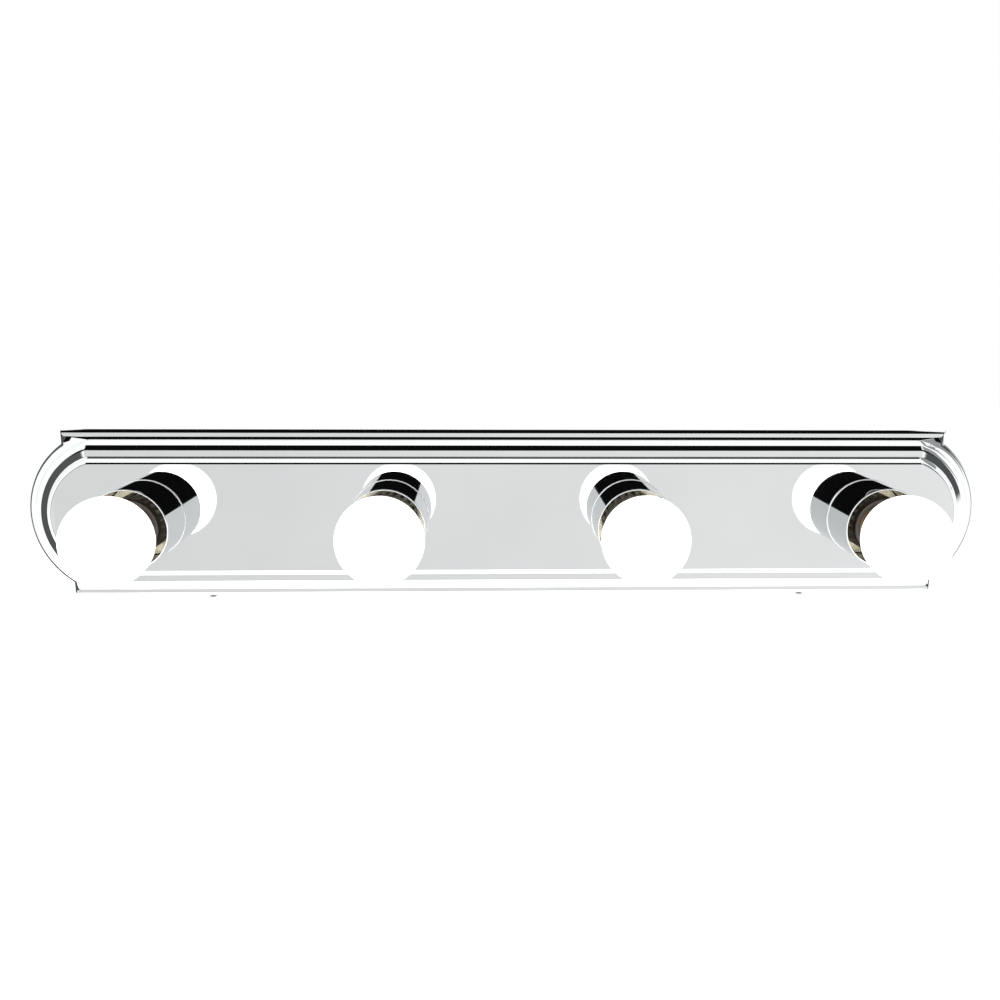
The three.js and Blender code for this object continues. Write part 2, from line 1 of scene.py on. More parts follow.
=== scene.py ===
"""Finished look of a four-light vanity bar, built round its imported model.

The bar is a stamped chrome cover on a galvanised wall pan, with four chrome socket cups.
Each cup holds a phenolic lampholder and a screw-in opal globe. Inside the bar the leads
run to wire nuts. Sizes in the classes are millimetres and the scene is in metres: +X runs
along the bar, +Z is up, and the bar stands off the wall towards -Y, so a point at depth d
has y = -d.
"""

import logging
import math
from collections.abc import Callable, Sequence
from dataclasses import dataclass
from enum import Enum

import bmesh
import bpy
import numpy as np
from mathutils import Matrix, Vector
from mathutils.geometry import tessellate_polygon


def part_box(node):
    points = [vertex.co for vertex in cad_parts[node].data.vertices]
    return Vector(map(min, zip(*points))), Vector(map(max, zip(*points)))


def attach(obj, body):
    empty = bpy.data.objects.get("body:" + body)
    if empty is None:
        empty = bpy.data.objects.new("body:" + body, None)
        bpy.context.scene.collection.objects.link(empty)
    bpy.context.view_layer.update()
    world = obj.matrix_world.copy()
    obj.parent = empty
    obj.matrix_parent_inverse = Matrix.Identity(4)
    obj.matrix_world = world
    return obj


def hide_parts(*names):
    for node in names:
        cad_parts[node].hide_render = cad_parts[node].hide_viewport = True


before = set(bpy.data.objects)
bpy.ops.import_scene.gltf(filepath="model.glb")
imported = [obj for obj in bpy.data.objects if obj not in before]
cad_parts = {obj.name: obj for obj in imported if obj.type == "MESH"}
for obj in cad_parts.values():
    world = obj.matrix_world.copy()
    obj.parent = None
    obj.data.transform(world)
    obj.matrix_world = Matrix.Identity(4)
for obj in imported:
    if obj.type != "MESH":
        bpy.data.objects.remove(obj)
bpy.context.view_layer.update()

MM = 0.001
SHEET = 0.8
GAP = 0.3
THREAD_PITCH = 3.629
FAR = 1e3  # a support distance so long that no extra points are added
RUN_SHARE = 0.49  # most of a run that a corner at one of its ends may take up
END_SHARE = 0.98  # the same for an open path's first and last run
FIXTURE = "fixture"
LOG = logging.getLogger("vanity_bar")

Corner = tuple[float, float, float]
Point = tuple[float, float]
Colour = tuple[float, float, float]


class Slot(Enum):
    """Material slots of the record."""

    CHROME = "polished_chrome"
    GALVANISED = "galvanised_steel"
    ZINC = "zinc_plate"
    BRASS = "brass"
    PHENOLIC = "brown_phenolic"
    OPAL = "opal_glass"
    CAP = "cap_aluminium"
    BLACK_GLASS = "black_glass"
    SOLDER = "solder"
    RUBBER = "black_rubber"
    HOT_LEAD = "black_lead"
    NEUTRAL_LEAD = "white_lead"
    GROUND_LEAD = "green_lead"
    RED_NUT = "red_nut"
    GREEN_NUT = "green_nut"
    GREEN_SCREW = "green_screw"


class Axis(Enum):
    """Which way a turned piece points."""

    OUT = "off the wall"
    UP = "upwards"
    DOWN = "downwards"


class Plane(Enum):
    """How a cut-out lies: facing the room, or standing on edge along the bar."""

    FACE = "face"
    EDGE = "edge"


# ---- Shapes --------------------------------------------------------------------------


def extent(node: str) -> tuple[Vector, Vector]:
    """Box of a CAD node.

    Args:
        node: The node's name.

    Returns:
        Its lowest and highest corners, in millimetres.
    """
    low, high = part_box(node)
    return low / MM, high / MM


def fillet(
    corners: Sequence[Corner], steps: int = 6, closed: bool = False, support: float = 0.3
) -> list[Point]:
    """Rounds the corners of a path and keeps its straight runs straight when shaded.

    Args:
        corners: The corners as across, along and corner radius.
        steps: Facets in each rounded corner.
        closed: True if the path's end joins its start.
        support: Distance from a straight run's ends to its extra points.

    Returns:
        The points of the rounded path.
    """
    places = [np.array(corner[:2], float) for corner in corners]
    count = len(corners)
    rounded: list[np.ndarray] = []
    for i, (place, corner) in enumerate(zip(places, corners)):
        if corner[2] <= 0 or (not closed and i in (0, count - 1)):
            rounded.append(place)
            continue
        back, ahead = places[i - 1] - place, places[(i + 1) % count] - place
        back_length, ahead_length = np.linalg.norm(back), np.linalg.norm(ahead)
        back, ahead = back / back_length, ahead / ahead_length
        half = math.acos(float(np.clip(back @ ahead, -1, 1))) / 2
        if half > math.pi / 2 - 1e-3:
            rounded.append(place)
            continue
        shares = [END_SHARE if not closed and end else RUN_SHARE for end in (i == 1, i == count - 2)]
        reach = min(corner[2] / math.tan(half), shares[0] * back_length, shares[1] * ahead_length)
        bisector = (back + ahead) / np.linalg.norm(back + ahead)
        centre = place + bisector * reach / math.cos(half)
        first, last = place + back * reach - centre, place + ahead * reach - centre
        turn = math.atan2(first[0] * last[1] - first[1] * last[0], first @ last)
        for k in range(steps + 1):
            cos, sin = math.cos(turn * k / steps), math.sin(turn * k / steps)
            rounded.append(centre + (first[0] * cos - first[1] * sin, first[0] * sin + first[1] * cos))
    path: list[Point] = []
    for i, place in enumerate(rounded):
        path.append((float(place[0]), float(place[1])))
        if i == len(rounded) - 1 and not closed:
            break
        step = rounded[(i + 1) % len(rounded)] - place
        length = float(np.linalg.norm(step))
        if length > 4 * support:
            for share in (support / length, 1 - support / length):
                path.append(tuple(place + step * share))
    return path


def offset(corners: Sequence[Corner], distance: float) -> list[Corner]:
    """Moves an open path sideways, to its right, and keeps the sheet's thickness in its bends.

    Args:
        corners: The path's corners as across, along and radius.
        distance: How far to move it.

    Returns:
        The corners of the moved path.
    """
    places = [np.array(corner[:2], float) for corner in corners]
    runs = [(b - a) / np.linalg.norm(b - a) for a, b in zip(places, places[1:])]
    moved: list[Corner] = []
    for i, (place, corner) in enumerate(zip(places, corners)):
        back, ahead = runs[max(i - 1, 0)], runs[min(i, len(runs) - 1)]
        before, after = (np.array((run[1], -run[0])) for run in (back, ahead))
        mitre = (before + after) / (1 + before @ after)
        bends_right = back[0] * ahead[1] - back[1] * ahead[0] < 0
        radius = corner[2] - distance if bends_right else corner[2] + distance
        moved.append((*(place + mitre * distance), max(radius, 0.1) if corner[2] > 0 else 0.0))
    return moved


def circle(x: float, z: float, radius: float, sides: int = 48) -> list[Point]:
    """Points round a circle.

    Args:
        x: Centre along the bar.
        z: Centre height.
        radius: The circle's radius.
        sides: How many points.

    Returns:
        The points in order.
    """
    turns = [2 * math.pi * i / sides for i in range(sides)]
    return [(x + radius * math.cos(turn), z + radius * math.sin(turn)) for turn in turns]


@dataclass
class Place:
    """Where a turned piece stands and which way it points, in millimetres."""

    x: float
    depth: float = 0.0
    z: float = 0.0
    axis: Axis = Axis.OUT

    def points(self, radius: np.ndarray, turn: np.ndarray, along: np.ndarray) -> np.ndarray:
        """Points round the piece's axis.

        Args:
            radius: Distance of each point from the axis.
            turn: Angle of each point round the axis.
            along: Distance of each point along the axis.

        Returns:
            The points in metres, one row each.
        """
        cos, sin = radius * np.cos(turn), radius * np.sin(turn)
        if self.axis is Axis.OUT:
            spread = (self.x + cos, -(self.depth + along), self.z + sin)
        else:
            way = 1 if self.axis is Axis.UP else -1
            spread = (self.x + cos, sin - self.depth, self.z + way * along)
        return np.stack([part.ravel() for part in spread], axis=1) * MM


class Blank:
    """Mesh of one piece while it is being made."""

    def __init__(self) -> None:
        """Starts with nothing in it."""
        self.mesh = bmesh.new()

    def grid(self, points: np.ndarray, rows: int, looped: bool = True) -> None:
        """Adds a surface of rings, each joined to the next.

        Args:
            points: The rings' points in metres, ring after ring.
            rows: How many rings there are.
            looped: True if the last ring joins the first.
        """
        count = len(points) // rows
        made = [self.mesh.verts.new(point) for point in points]
        for row in range(rows if looped else rows - 1):
            this, following = row * count, ((row + 1) % rows) * count
            for i in range(count):
                j = (i + 1) % count
                ring = (this + i, this + j, following + j, following + i)
                self.mesh.faces.new([made[index] for index in ring])

    def turn(self, section: Sequence[Point], place: Place, sides: int = 96,
             shape: Callable[[np.ndarray, np.ndarray, np.ndarray], np.ndarray] | None = None) -> None:
        """Turns a section round an axis.

        Args:
            section: Radius and distance along the axis of each point. It starts and ends on
                the axis, or else its end joins its start.
            place: Where the axis is.
            sides: Facets round the axis.
            shape: Changes the radii, given the radii, the angles and the distances along.
        """
        radius, along = (np.repeat([point[k] for point in section], sides).astype(float) for k in (0, 1))
        turn = np.tile(np.linspace(0, 2 * math.pi, sides, endpoint=False), len(section))
        if shape:
            radius = shape(radius, turn, along)
        on_axis = section[0][0] < 1e-6 and section[-1][0] < 1e-6
        self.grid(place.points(radius, turn, along), len(section), looped=not on_axis)

    def face(self, outlines: Sequence[Sequence[Point]], low: float, high: float,
             plane: Plane = Plane.FACE) -> None:
        """Adds a flat cut-out with holes.

        Args:
            outlines: The outer outline and then the holes.
            low: Depth of its back, or its lowest height if it stands on edge.
            high: Depth of its front, or its greatest height if it stands on edge.
            plane: How it lies.
        """
        flat = [point for outline in outlines for point in outline]
        levels = []
        for level in (low, high):
            if plane is Plane.FACE:
                places = [(u, -level, v) for u, v in flat]
            else:
                places = [(u, -v, level) for u, v in flat]
            levels.append([self.mesh.verts.new(Vector(place) * MM) for place in places])
        loops = [[Vector((u, v, 0)) for u, v in outline] for outline in outlines]
        for a, b, c in tessellate_polygon(loops):
            self.mesh.faces.new((levels[0][a], levels[0][b], levels[0][c]))
            self.mesh.faces.new((levels[1][c], levels[1][b], levels[1][a]))
        start = 0
        for outline in outlines:
            for i in range(len(outline)):
                a, b = start + i, start + (i + 1) % len(outline)
                self.mesh.faces.new((levels[0][a], levels[0][b], levels[1][b], levels[1][a]))
            start += len(outline)

    def skin(self, outlines: Sequence[Sequence[Point]], depths: Sequence[float]) -> None:
        """Adds one surface between an outline and its holes.

        Args:
            outlines: The outer outline and then the holes.
            depths: Depth of each outline from the wall.
        """
        made = [self.mesh.verts.new(Vector((u, -depth, v)) * MM)
                for outline, depth in zip(outlines, depths) for u, v in outline]
        loops = [[Vector((u, v, 0)) for u, v in outline] for outline in outlines]
        for a, b, c in tessellate_polygon(loops):
            self.mesh.faces.new((made[a], made[b], made[c]))

    def block(self, low: Corner, high: Corner, edge: float = 0.15) -> None:
        """Adds a block with eased edges.

        Args:
            low: Lowest x, depth and z.
            high: Highest x, depth and z.
            edge: How far its edges are eased.
        """
        size = Vector([b - a for a, b in zip(low, high)])
        middle = Vector([(a + b) / 2 for a, b in zip(low, high)])
        place = Matrix.Translation(Vector((middle.x, -middle.y, middle.z)) * MM)
        matrix = place @ Matrix.Diagonal((*(size * MM), 1))
        made = bmesh.ops.create_cube(self.mesh, size=1, matrix=matrix)["verts"]
        edges = list({e for vert in made for e in vert.link_edges})
        bmesh.ops.bevel(self.mesh, geom=edges, offset=edge * MM, segments=3, profile=0.5, affect="EDGES")

    def tube(self, corners: Sequence[Corner], radius: float, bend: float, sides: int = 16,
             steps: int = 8) -> None:
        """Adds a round tube along a path with rounded corners.

        Args:
            corners: The path's corners as x, depth and z.
            radius: The tube's radius.
            bend: How far from a corner its bend may start.
            sides: Facets round the tube.
            steps: Facets along each bend.
        """
        places = [Vector((x, -depth, z)) for x, depth, z in corners]
        path = [places[0]]
        for before, place, after in zip(places, places[1:], places[2:]):
            back, ahead = before - place, after - place
            reach = min(bend, back.length * 0.45, ahead.length * 0.45)
            start, end = place + back.normalized() * reach, place + ahead.normalized() * reach
            for k in range(steps + 1):
                t = k / steps
                path.append(start * (1 - t) ** 2 + place * 2 * t * (1 - t) + end * t * t)
        path.append(places[-1])
        rings = []
        side = Vector((0, 0, 1)).cross(path[1] - path[0])
        side = side if side.length > 0.1 else Vector((1, 0, 0)).cross(path[1] - path[0])
        for i, place in enumerate(path):
            along = (path[min(i + 1, len(path) - 1)] - path[max(i - 1, 0)]).normalized()
            side = (side - along * side.dot(along)).normalized()
            other = along.cross(side)
            for k in range(sides):
                turn = 2 * math.pi * k / sides
                rings.append((place + (side * math.cos(turn) + other * math.sin(turn)) * radius) * MM)
        made = len(self.mesh.verts)
        self.grid(np.array(rings), len(path), looped=False)
        self.mesh.verts.ensure_lookup_table()
        self.mesh.faces.new(self.mesh.verts[made:made + sides])
        self.mesh.faces.new(self.mesh.verts[len(self.mesh.verts) - sides:])

    def piece(self, name: str, smooth: float = 38) -> bpy.types.Object:
        """Closes the mesh and makes it an object.

        Args:
            name: The object's name.
            smooth: Greatest angle in degrees between faces that are shaded as one surface.

        Returns:
            The new object.
        """
        bmesh.ops.remove_doubles(self.mesh, verts=self.mesh.verts, dist=1e-6)
        bmesh.ops.recalc_face_normals(self.mesh, faces=self.mesh.faces)
        data = bpy.data.meshes.new(name)
        self.mesh.to_mesh(data)
        self.mesh.free()
        data.shade_smooth()
        data.set_sharp_from_angle(angle=math.radians(smooth))
        made = bpy.data.objects.new(name, data)
        bpy.context.scene.collection.objects.link(made)
        return made


def carve(piece: bpy.types.Object, tool: Blank, smooth: float = 38) -> None:
    """Cuts a shape out of a piece.

    Args:
        piece: The piece that is cut.
        tool: The shape that is taken away.
        smooth: Greatest angle in degrees between faces that are shaded as one surface.
    """
    cutter = tool.piece("cutter")
    modifier = piece.modifiers.new("cut", "BOOLEAN")
    modifier.operation = "DIFFERENCE"
    modifier.solver = "EXACT"
    modifier.object = cutter
    graph = bpy.context.evaluated_depsgraph_get()
    data = bpy.data.meshes.new_from_object(piece.evaluated_get(graph))
    piece.modifiers.remove(modifier)
    piece.data = data
    data.shade_smooth()
    data.set_sharp_from_angle(angle=math.radians(smooth))
    bpy.data.objects.remove(cutter)


def thread(size: float, pitch: float, start: float, end: float) -> Callable[..., np.ndarray]:
    """Right-hand thread for a turned surface.

    Args:
        size: Half the thread's height.
        pitch: Distance between turns.
        start: Where the thread starts along the axis.
        end: Where it ends.

    Returns:
        A function for Blank.turn that adds the thread to the radii.
    """

    def shape(radius: np.ndarray, turn: np.ndarray, along: np.ndarray) -> np.ndarray:
        """Radii with the thread on them.

        Args:
            radius: Plain radii.
            turn: Angles round the axis.
            along: Distances along it.

        Returns:
            The threaded radii.
        """
        fade = np.clip(np.minimum(along - start, end - along) / (pitch * 0.6), 0, 1)
        return radius + size * fade * np.cos(2 * math.pi * along / pitch - turn)

    return shape


# ---- Finishes ------------------------------------------------------------------------


class Graph:
    """Node tree of one material."""

    def __init__(self, name: str) -> None:
        """Starts with the plain shader.

        Args:
            name: The material's name.
        """
        self.material = bpy.data.materials.new(name)
        self.material.use_nodes = True
        self.tree = self.material.node_tree
        self.shader = self.tree.nodes["Principled BSDF"]
        self.place = self.add("ShaderNodeTexCoord").outputs["Object"]

    def add(self, kind: str, **inputs: object) -> bpy.types.Node:
        """Adds a node.

        Args:
            kind: The node's type.
            **inputs: Values or sockets for its inputs, by name with _ for a space.

        Returns:
            The node.
        """
        node = self.tree.nodes.new(kind)
        for name, value in inputs.items():
            self.feed(node.inputs[name.replace("_", " ")], value)
        return node

    def feed(self, socket: bpy.types.NodeSocket, value: object) -> None:
        """Sets an input, or links it when the value is a socket."""
        if isinstance(value, bpy.types.NodeSocket):
            self.tree.links.new(value, socket)
        else:
            socket.default_value = value

    def noise(self, size: float, detail: float = 4, stretch: Corner = (1, 1, 1)) -> bpy.types.NodeSocket:
        """Cloudy pattern.

        Args:
            size: Size of its features in millimetres.
            detail: How many finer levels it has.
            stretch: How far it is drawn out along each axis.

        Returns:
            The pattern, about 0.3 to 0.7.
        """
        place = self.add("ShaderNodeMapping", Vector=self.place, Scale=tuple(1 / s for s in stretch))
        node = self.add("ShaderNodeTexNoise", Vector=place.outputs[0], Scale=1 / (size * MM), Detail=detail)
        return node.outputs["Fac"]

    def cells(self, size: float, output: str = "Color") -> bpy.types.NodeSocket:
        """Cell pattern.

        Args:
            size: Size of a cell in millimetres.
            output: The node's output to use.

        Returns:
            The pattern.
        """
        return self.add("ShaderNodeTexVoronoi", Vector=self.place, Scale=1 / (size * MM)).outputs[output]

    def spread(self, source: bpy.types.NodeSocket, low: float, high: float,
               start: float = 0.3, end: float = 0.7) -> bpy.types.NodeSocket:
        """Stretches a pattern to a range.

        Args:
            source: The pattern.
            low: Result where the pattern is at start.
            high: Result where it is at end.
            start: Lowest value of the pattern that counts.
            end: Highest value that counts.

        Returns:
            The result.
        """
        node = self.add("ShaderNodeMapRange", Value=source, From_Min=start, From_Max=end, To_Min=low,
                        To_Max=high)
        return node.outputs["Result"]

    def blend(self, share: bpy.types.NodeSocket, first: Colour, second: Colour) -> bpy.types.NodeSocket:
        """Mixes two colours.

        Args:
            share: How much of the second colour there is.
            first: First colour.
            second: Second colour.

        Returns:
            The colour.
        """
        node = self.tree.nodes.new("ShaderNodeMix")
        node.data_type = "RGBA"
        self.feed(node.inputs["Factor"], share)
        self.feed(node.inputs["A"], (*first, 1))
        self.feed(node.inputs["B"], (*second, 1))
        return node.outputs["Result"]

    def relief(self, height: bpy.types.NodeSocket, depth: float,
               under: bpy.types.NodeSocket | None = None) -> bpy.types.NodeSocket:
        """Fine relief.

        Args:
            height: Pattern of heights.
            depth: Its full height in millimetres.
            under: Relief that it lies on.

        Returns:
            The surface's normal.
        """
        node = self.add("ShaderNodeBump", Height=height, Distance=depth * MM, Strength=1.0)
        if under:
            self.feed(node.inputs["Normal"], under)
        return node.outputs["Normal"]

    def set(self, **inputs: object) -> None:
        """Sets the shader's inputs by name, with _ for a space."""
        for name, value in inputs.items():
            if isinstance(value, tuple) and len(value) == 3:
                value = (*value, 1)
            self.feed(self.shader.inputs[name.replace("_", " ")], value)


@dataclass(frozen=True)
class Finish:
    """Finish whose colour and roughness drift in patches over a fine grain."""

    name: str
    tone: Colour
    worn: Colour
    roughness: tuple[float, float]
    patch: float = 18.0
    grain: float = 0.8
    relief: float = 0.02
    metallic: float = 0.0

    def graph(self) -> Graph:
        """Node tree with the patches and the grain."""
        graph = Graph(self.name)
        patches = graph.noise(self.patch)
        grain = graph.noise(self.grain, detail=6)
        graph.set(
            Base_Color=graph.blend(graph.spread(patches, 0, 1), self.tone, self.worn),
            Roughness=graph.spread(grain, *self.roughness),
            Metallic=self.metallic,
            Normal=graph.relief(grain, self.relief),
        )
        return graph

    def material(self) -> bpy.types.Material:
        """The finished material."""
        return self.graph().material


@dataclass(frozen=True)
class MirrorPlate(Finish):
    """Polished plating: a near-perfect mirror with faint polishing haze and hairlines."""

    hairline: float = 0.0004

    def graph(self) -> Graph:
        """Node tree of the plating."""
        graph = Graph(self.name)
        haze = graph.noise(self.patch, detail=3)
        hairs = graph.noise(self.grain, detail=5, stretch=(14, 14, 1))
        graph.set(
            Base_Color=graph.blend(graph.spread(haze, 0, 1), self.tone, self.worn),
            Roughness=graph.spread(haze, *self.roughness),
            Metallic=self.metallic,
            Normal=graph.relief(hairs, self.hairline),
        )
        return graph


@dataclass(frozen=True)
class SpangledZinc(Finish):
    """Hot-dipped zinc: crystal spangles of different grey, each with its own gloss."""

    spangle: float = 7.0

    def graph(self) -> Graph:
        """Node tree of the zinc coat."""
        graph = Graph(self.name)
        crystals = graph.add("ShaderNodeSeparateColor", Color=graph.cells(self.spangle)).outputs
        fern = graph.noise(self.grain, detail=8, stretch=(3, 1, 1))
        graph.set(
            Base_Color=graph.blend(crystals[0], self.tone, self.worn),
            Roughness=graph.spread(crystals[1], *self.roughness, 0, 1),
            Metallic=self.metallic,
            Normal=graph.relief(fern, self.relief, graph.relief(crystals[2], self.relief)),
        )
        return graph


@dataclass(frozen=True)
class OpalGlass(Finish):
    """White-coated glass lit from inside, a little warmer and thinner in places."""

    glow: float = 1.5

    def graph(self) -> Graph:
        """Node tree of the lit glass."""
        graph = super().graph()
        coat = graph.noise(self.patch, detail=2)
        graph.set(
            Emission_Color=graph.blend(graph.spread(coat, 0, 1), (1.0, 0.985, 0.96), (1.0, 1.0, 1.0)),
            Emission_Strength=self.glow,
            Coat_Weight=0.5,
            Coat_Roughness=0.04,
        )
        return graph


@dataclass(frozen=True)
class Phenolic(Finish):
    """Moulded phenolic: dark brown with filler flecks and a dull skin."""

    fleck: float = 0.7

    def graph(self) -> Graph:
        """Node tree of the moulding."""
        graph = super().graph()
        flecks = graph.spread(graph.cells(self.fleck, "Distance"), 1, 0, 0.02, 0.22)
        graph.set(Base_Color=graph.blend(flecks, self.tone, self.worn), Coat_Weight=0.25, Coat_Roughness=0.3)
        return graph


FINISHES: dict[Slot, Finish] = {
    Slot.CHROME: MirrorPlate("polished_chrome", (0.90, 0.915, 0.92), (0.86, 0.875, 0.88), (0.015, 0.035),
                             patch=60, grain=0.35, metallic=1),
    Slot.GALVANISED: SpangledZinc("galvanised_steel", (0.52, 0.54, 0.55), (0.36, 0.38, 0.40), (0.28, 0.5),
                                  grain=1.4, relief=0.015, metallic=1),
    Slot.ZINC: Finish("zinc_plate", (0.62, 0.64, 0.64), (0.48, 0.50, 0.53), (0.2, 0.36), patch=3, grain=0.4,
                      relief=0.006, metallic=1),
    Slot.BRASS: Finish("brass", (0.72, 0.50, 0.20), (0.50, 0.33, 0.13), (0.18, 0.36), patch=6, grain=0.5,
                       relief=0.008, metallic=1),
    Slot.PHENOLIC: Phenolic("brown_phenolic", (0.022, 0.014, 0.010), (0.060, 0.036, 0.022), (0.28, 0.45),
                            grain=0.6),
    Slot.OPAL: OpalGlass("opal_glass", (0.93, 0.93, 0.92), (0.88, 0.88, 0.86), (0.12, 0.2), patch=20, grain=2,
                         relief=0.002),
    Slot.CAP: Finish("cap_aluminium", (0.72, 0.71, 0.69), (0.58, 0.57, 0.54), (0.2, 0.38), patch=5, grain=0.5,
                     relief=0.008, metallic=1),
    Slot.BLACK_GLASS: Finish("black_glass", (0.010, 0.010, 0.013), (0.022, 0.02, 0.026), (0.06, 0.16),
                             patch=4, grain=1, relief=0.01),
    Slot.SOLDER: Finish("solder", (0.60, 0.61, 0.62), (0.40, 0.41, 0.43), (0.25, 0.5), patch=1.6, grain=0.9,
                        relief=0.05, metallic=1),
    Slot.RUBBER: Finish("black_rubber", (0.018, 0.018, 0.019), (0.035, 0.035, 0.034), (0.6, 0.85), patch=5,
                        grain=0.5, relief=0.02),
    Slot.HOT_LEAD: Finish("black_lead", (0.014, 0.014, 0.016), (0.03, 0.03, 0.031), (0.35, 0.5),
                          patch=9, grain=0.6),
    Slot.NEUTRAL_LEAD: Finish("white_lead", (0.78, 0.77, 0.72), (0.68, 0.66, 0.6), (0.35, 0.5),
                              patch=9, grain=0.6),
    Slot.GROUND_LEAD: Finish("green_lead", (0.02, 0.20, 0.06), (0.015, 0.14, 0.045), (0.35, 0.5),
                             patch=9, grain=0.6),
    Slot.RED_NUT: Finish("red_nut", (0.50, 0.045, 0.02), (0.40, 0.03, 0.015), (0.3, 0.45),
                         patch=4, grain=0.4),
    Slot.GREEN_NUT: Finish("green_nut", (0.03, 0.26, 0.08), (0.02, 0.19, 0.055), (0.3, 0.45),
                           patch=4, grain=0.4),
    Slot.GREEN_SCREW: Finish("green_screw", (0.05, 0.30, 0.11), (0.10, 0.28, 0.14), (0.2, 0.34),
                             patch=2, grain=0.4, relief=0.01, metallic=0.8),
}

CUP_CHROME = MirrorPlate("cup_chrome", (0.73, 0.755, 0.76), (0.69, 0.715, 0.72), (0.015, 0.04),
                         patch=30, grain=0.3, metallic=1)
CUP_INSIDE = Finish("cup_inside", (0.58, 0.55, 0.46), (0.34, 0.315, 0.255), (0.14, 0.3), patch=7, grain=0.9,
                    relief=0.03, metallic=1)
# Near-white, rough, half-metal finish of the bead round each cup's foot: a painted highlight that stands for
# the bright line reflected there.
BEAD_PAINTED_HIGHLIGHT = Finish("bead_painted_highlight", (0.97, 0.97, 0.97), (0.9, 0.9, 0.9), (0.45, 0.6), patch=10, grain=0.2,
                      relief=0.01, metallic=0.4)


class Workshop:
    """Makes each material once and puts finished pieces on their bodies."""

    def __init__(self) -> None:
        """Starts with no materials made."""
        self.made: dict[str, bpy.types.Material] = {}

    def material(self, finish: Finish) -> bpy.types.Material:
        """Material of a finish, made the first time it is asked for."""
        if finish.name not in self.made:
            self.made[finish.name] = finish.material()
        return self.made[finish.name]

    def dress(self, piece: bpy.types.Object, slot: Slot, body: str, *nodes: str,
              finish: Finish | None = None) -> bpy.types.Object:
        """Finishes a piece and puts it on its body in place of CAD nodes.

        Args:
            piece: The piece.
            slot: Its material slot.
            body: The body that it moves with.
            *nodes: The CAD nodes that it stands for.
            finish: Its finish, if it isn't the slot's own.

        Returns:
            The piece.
        """
        piece.data.materials.clear()
        piece.data.materials.append(self.material(finish or FINISHES[slot]))
        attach(piece, body)
        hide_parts(*nodes)
        LOG.info("%s: %d faces, %s, on %s", piece.name, len(piece.data.polygons), slot.value, body)
        return piece


# ---- Cover ---------------------------------------------------------------------------


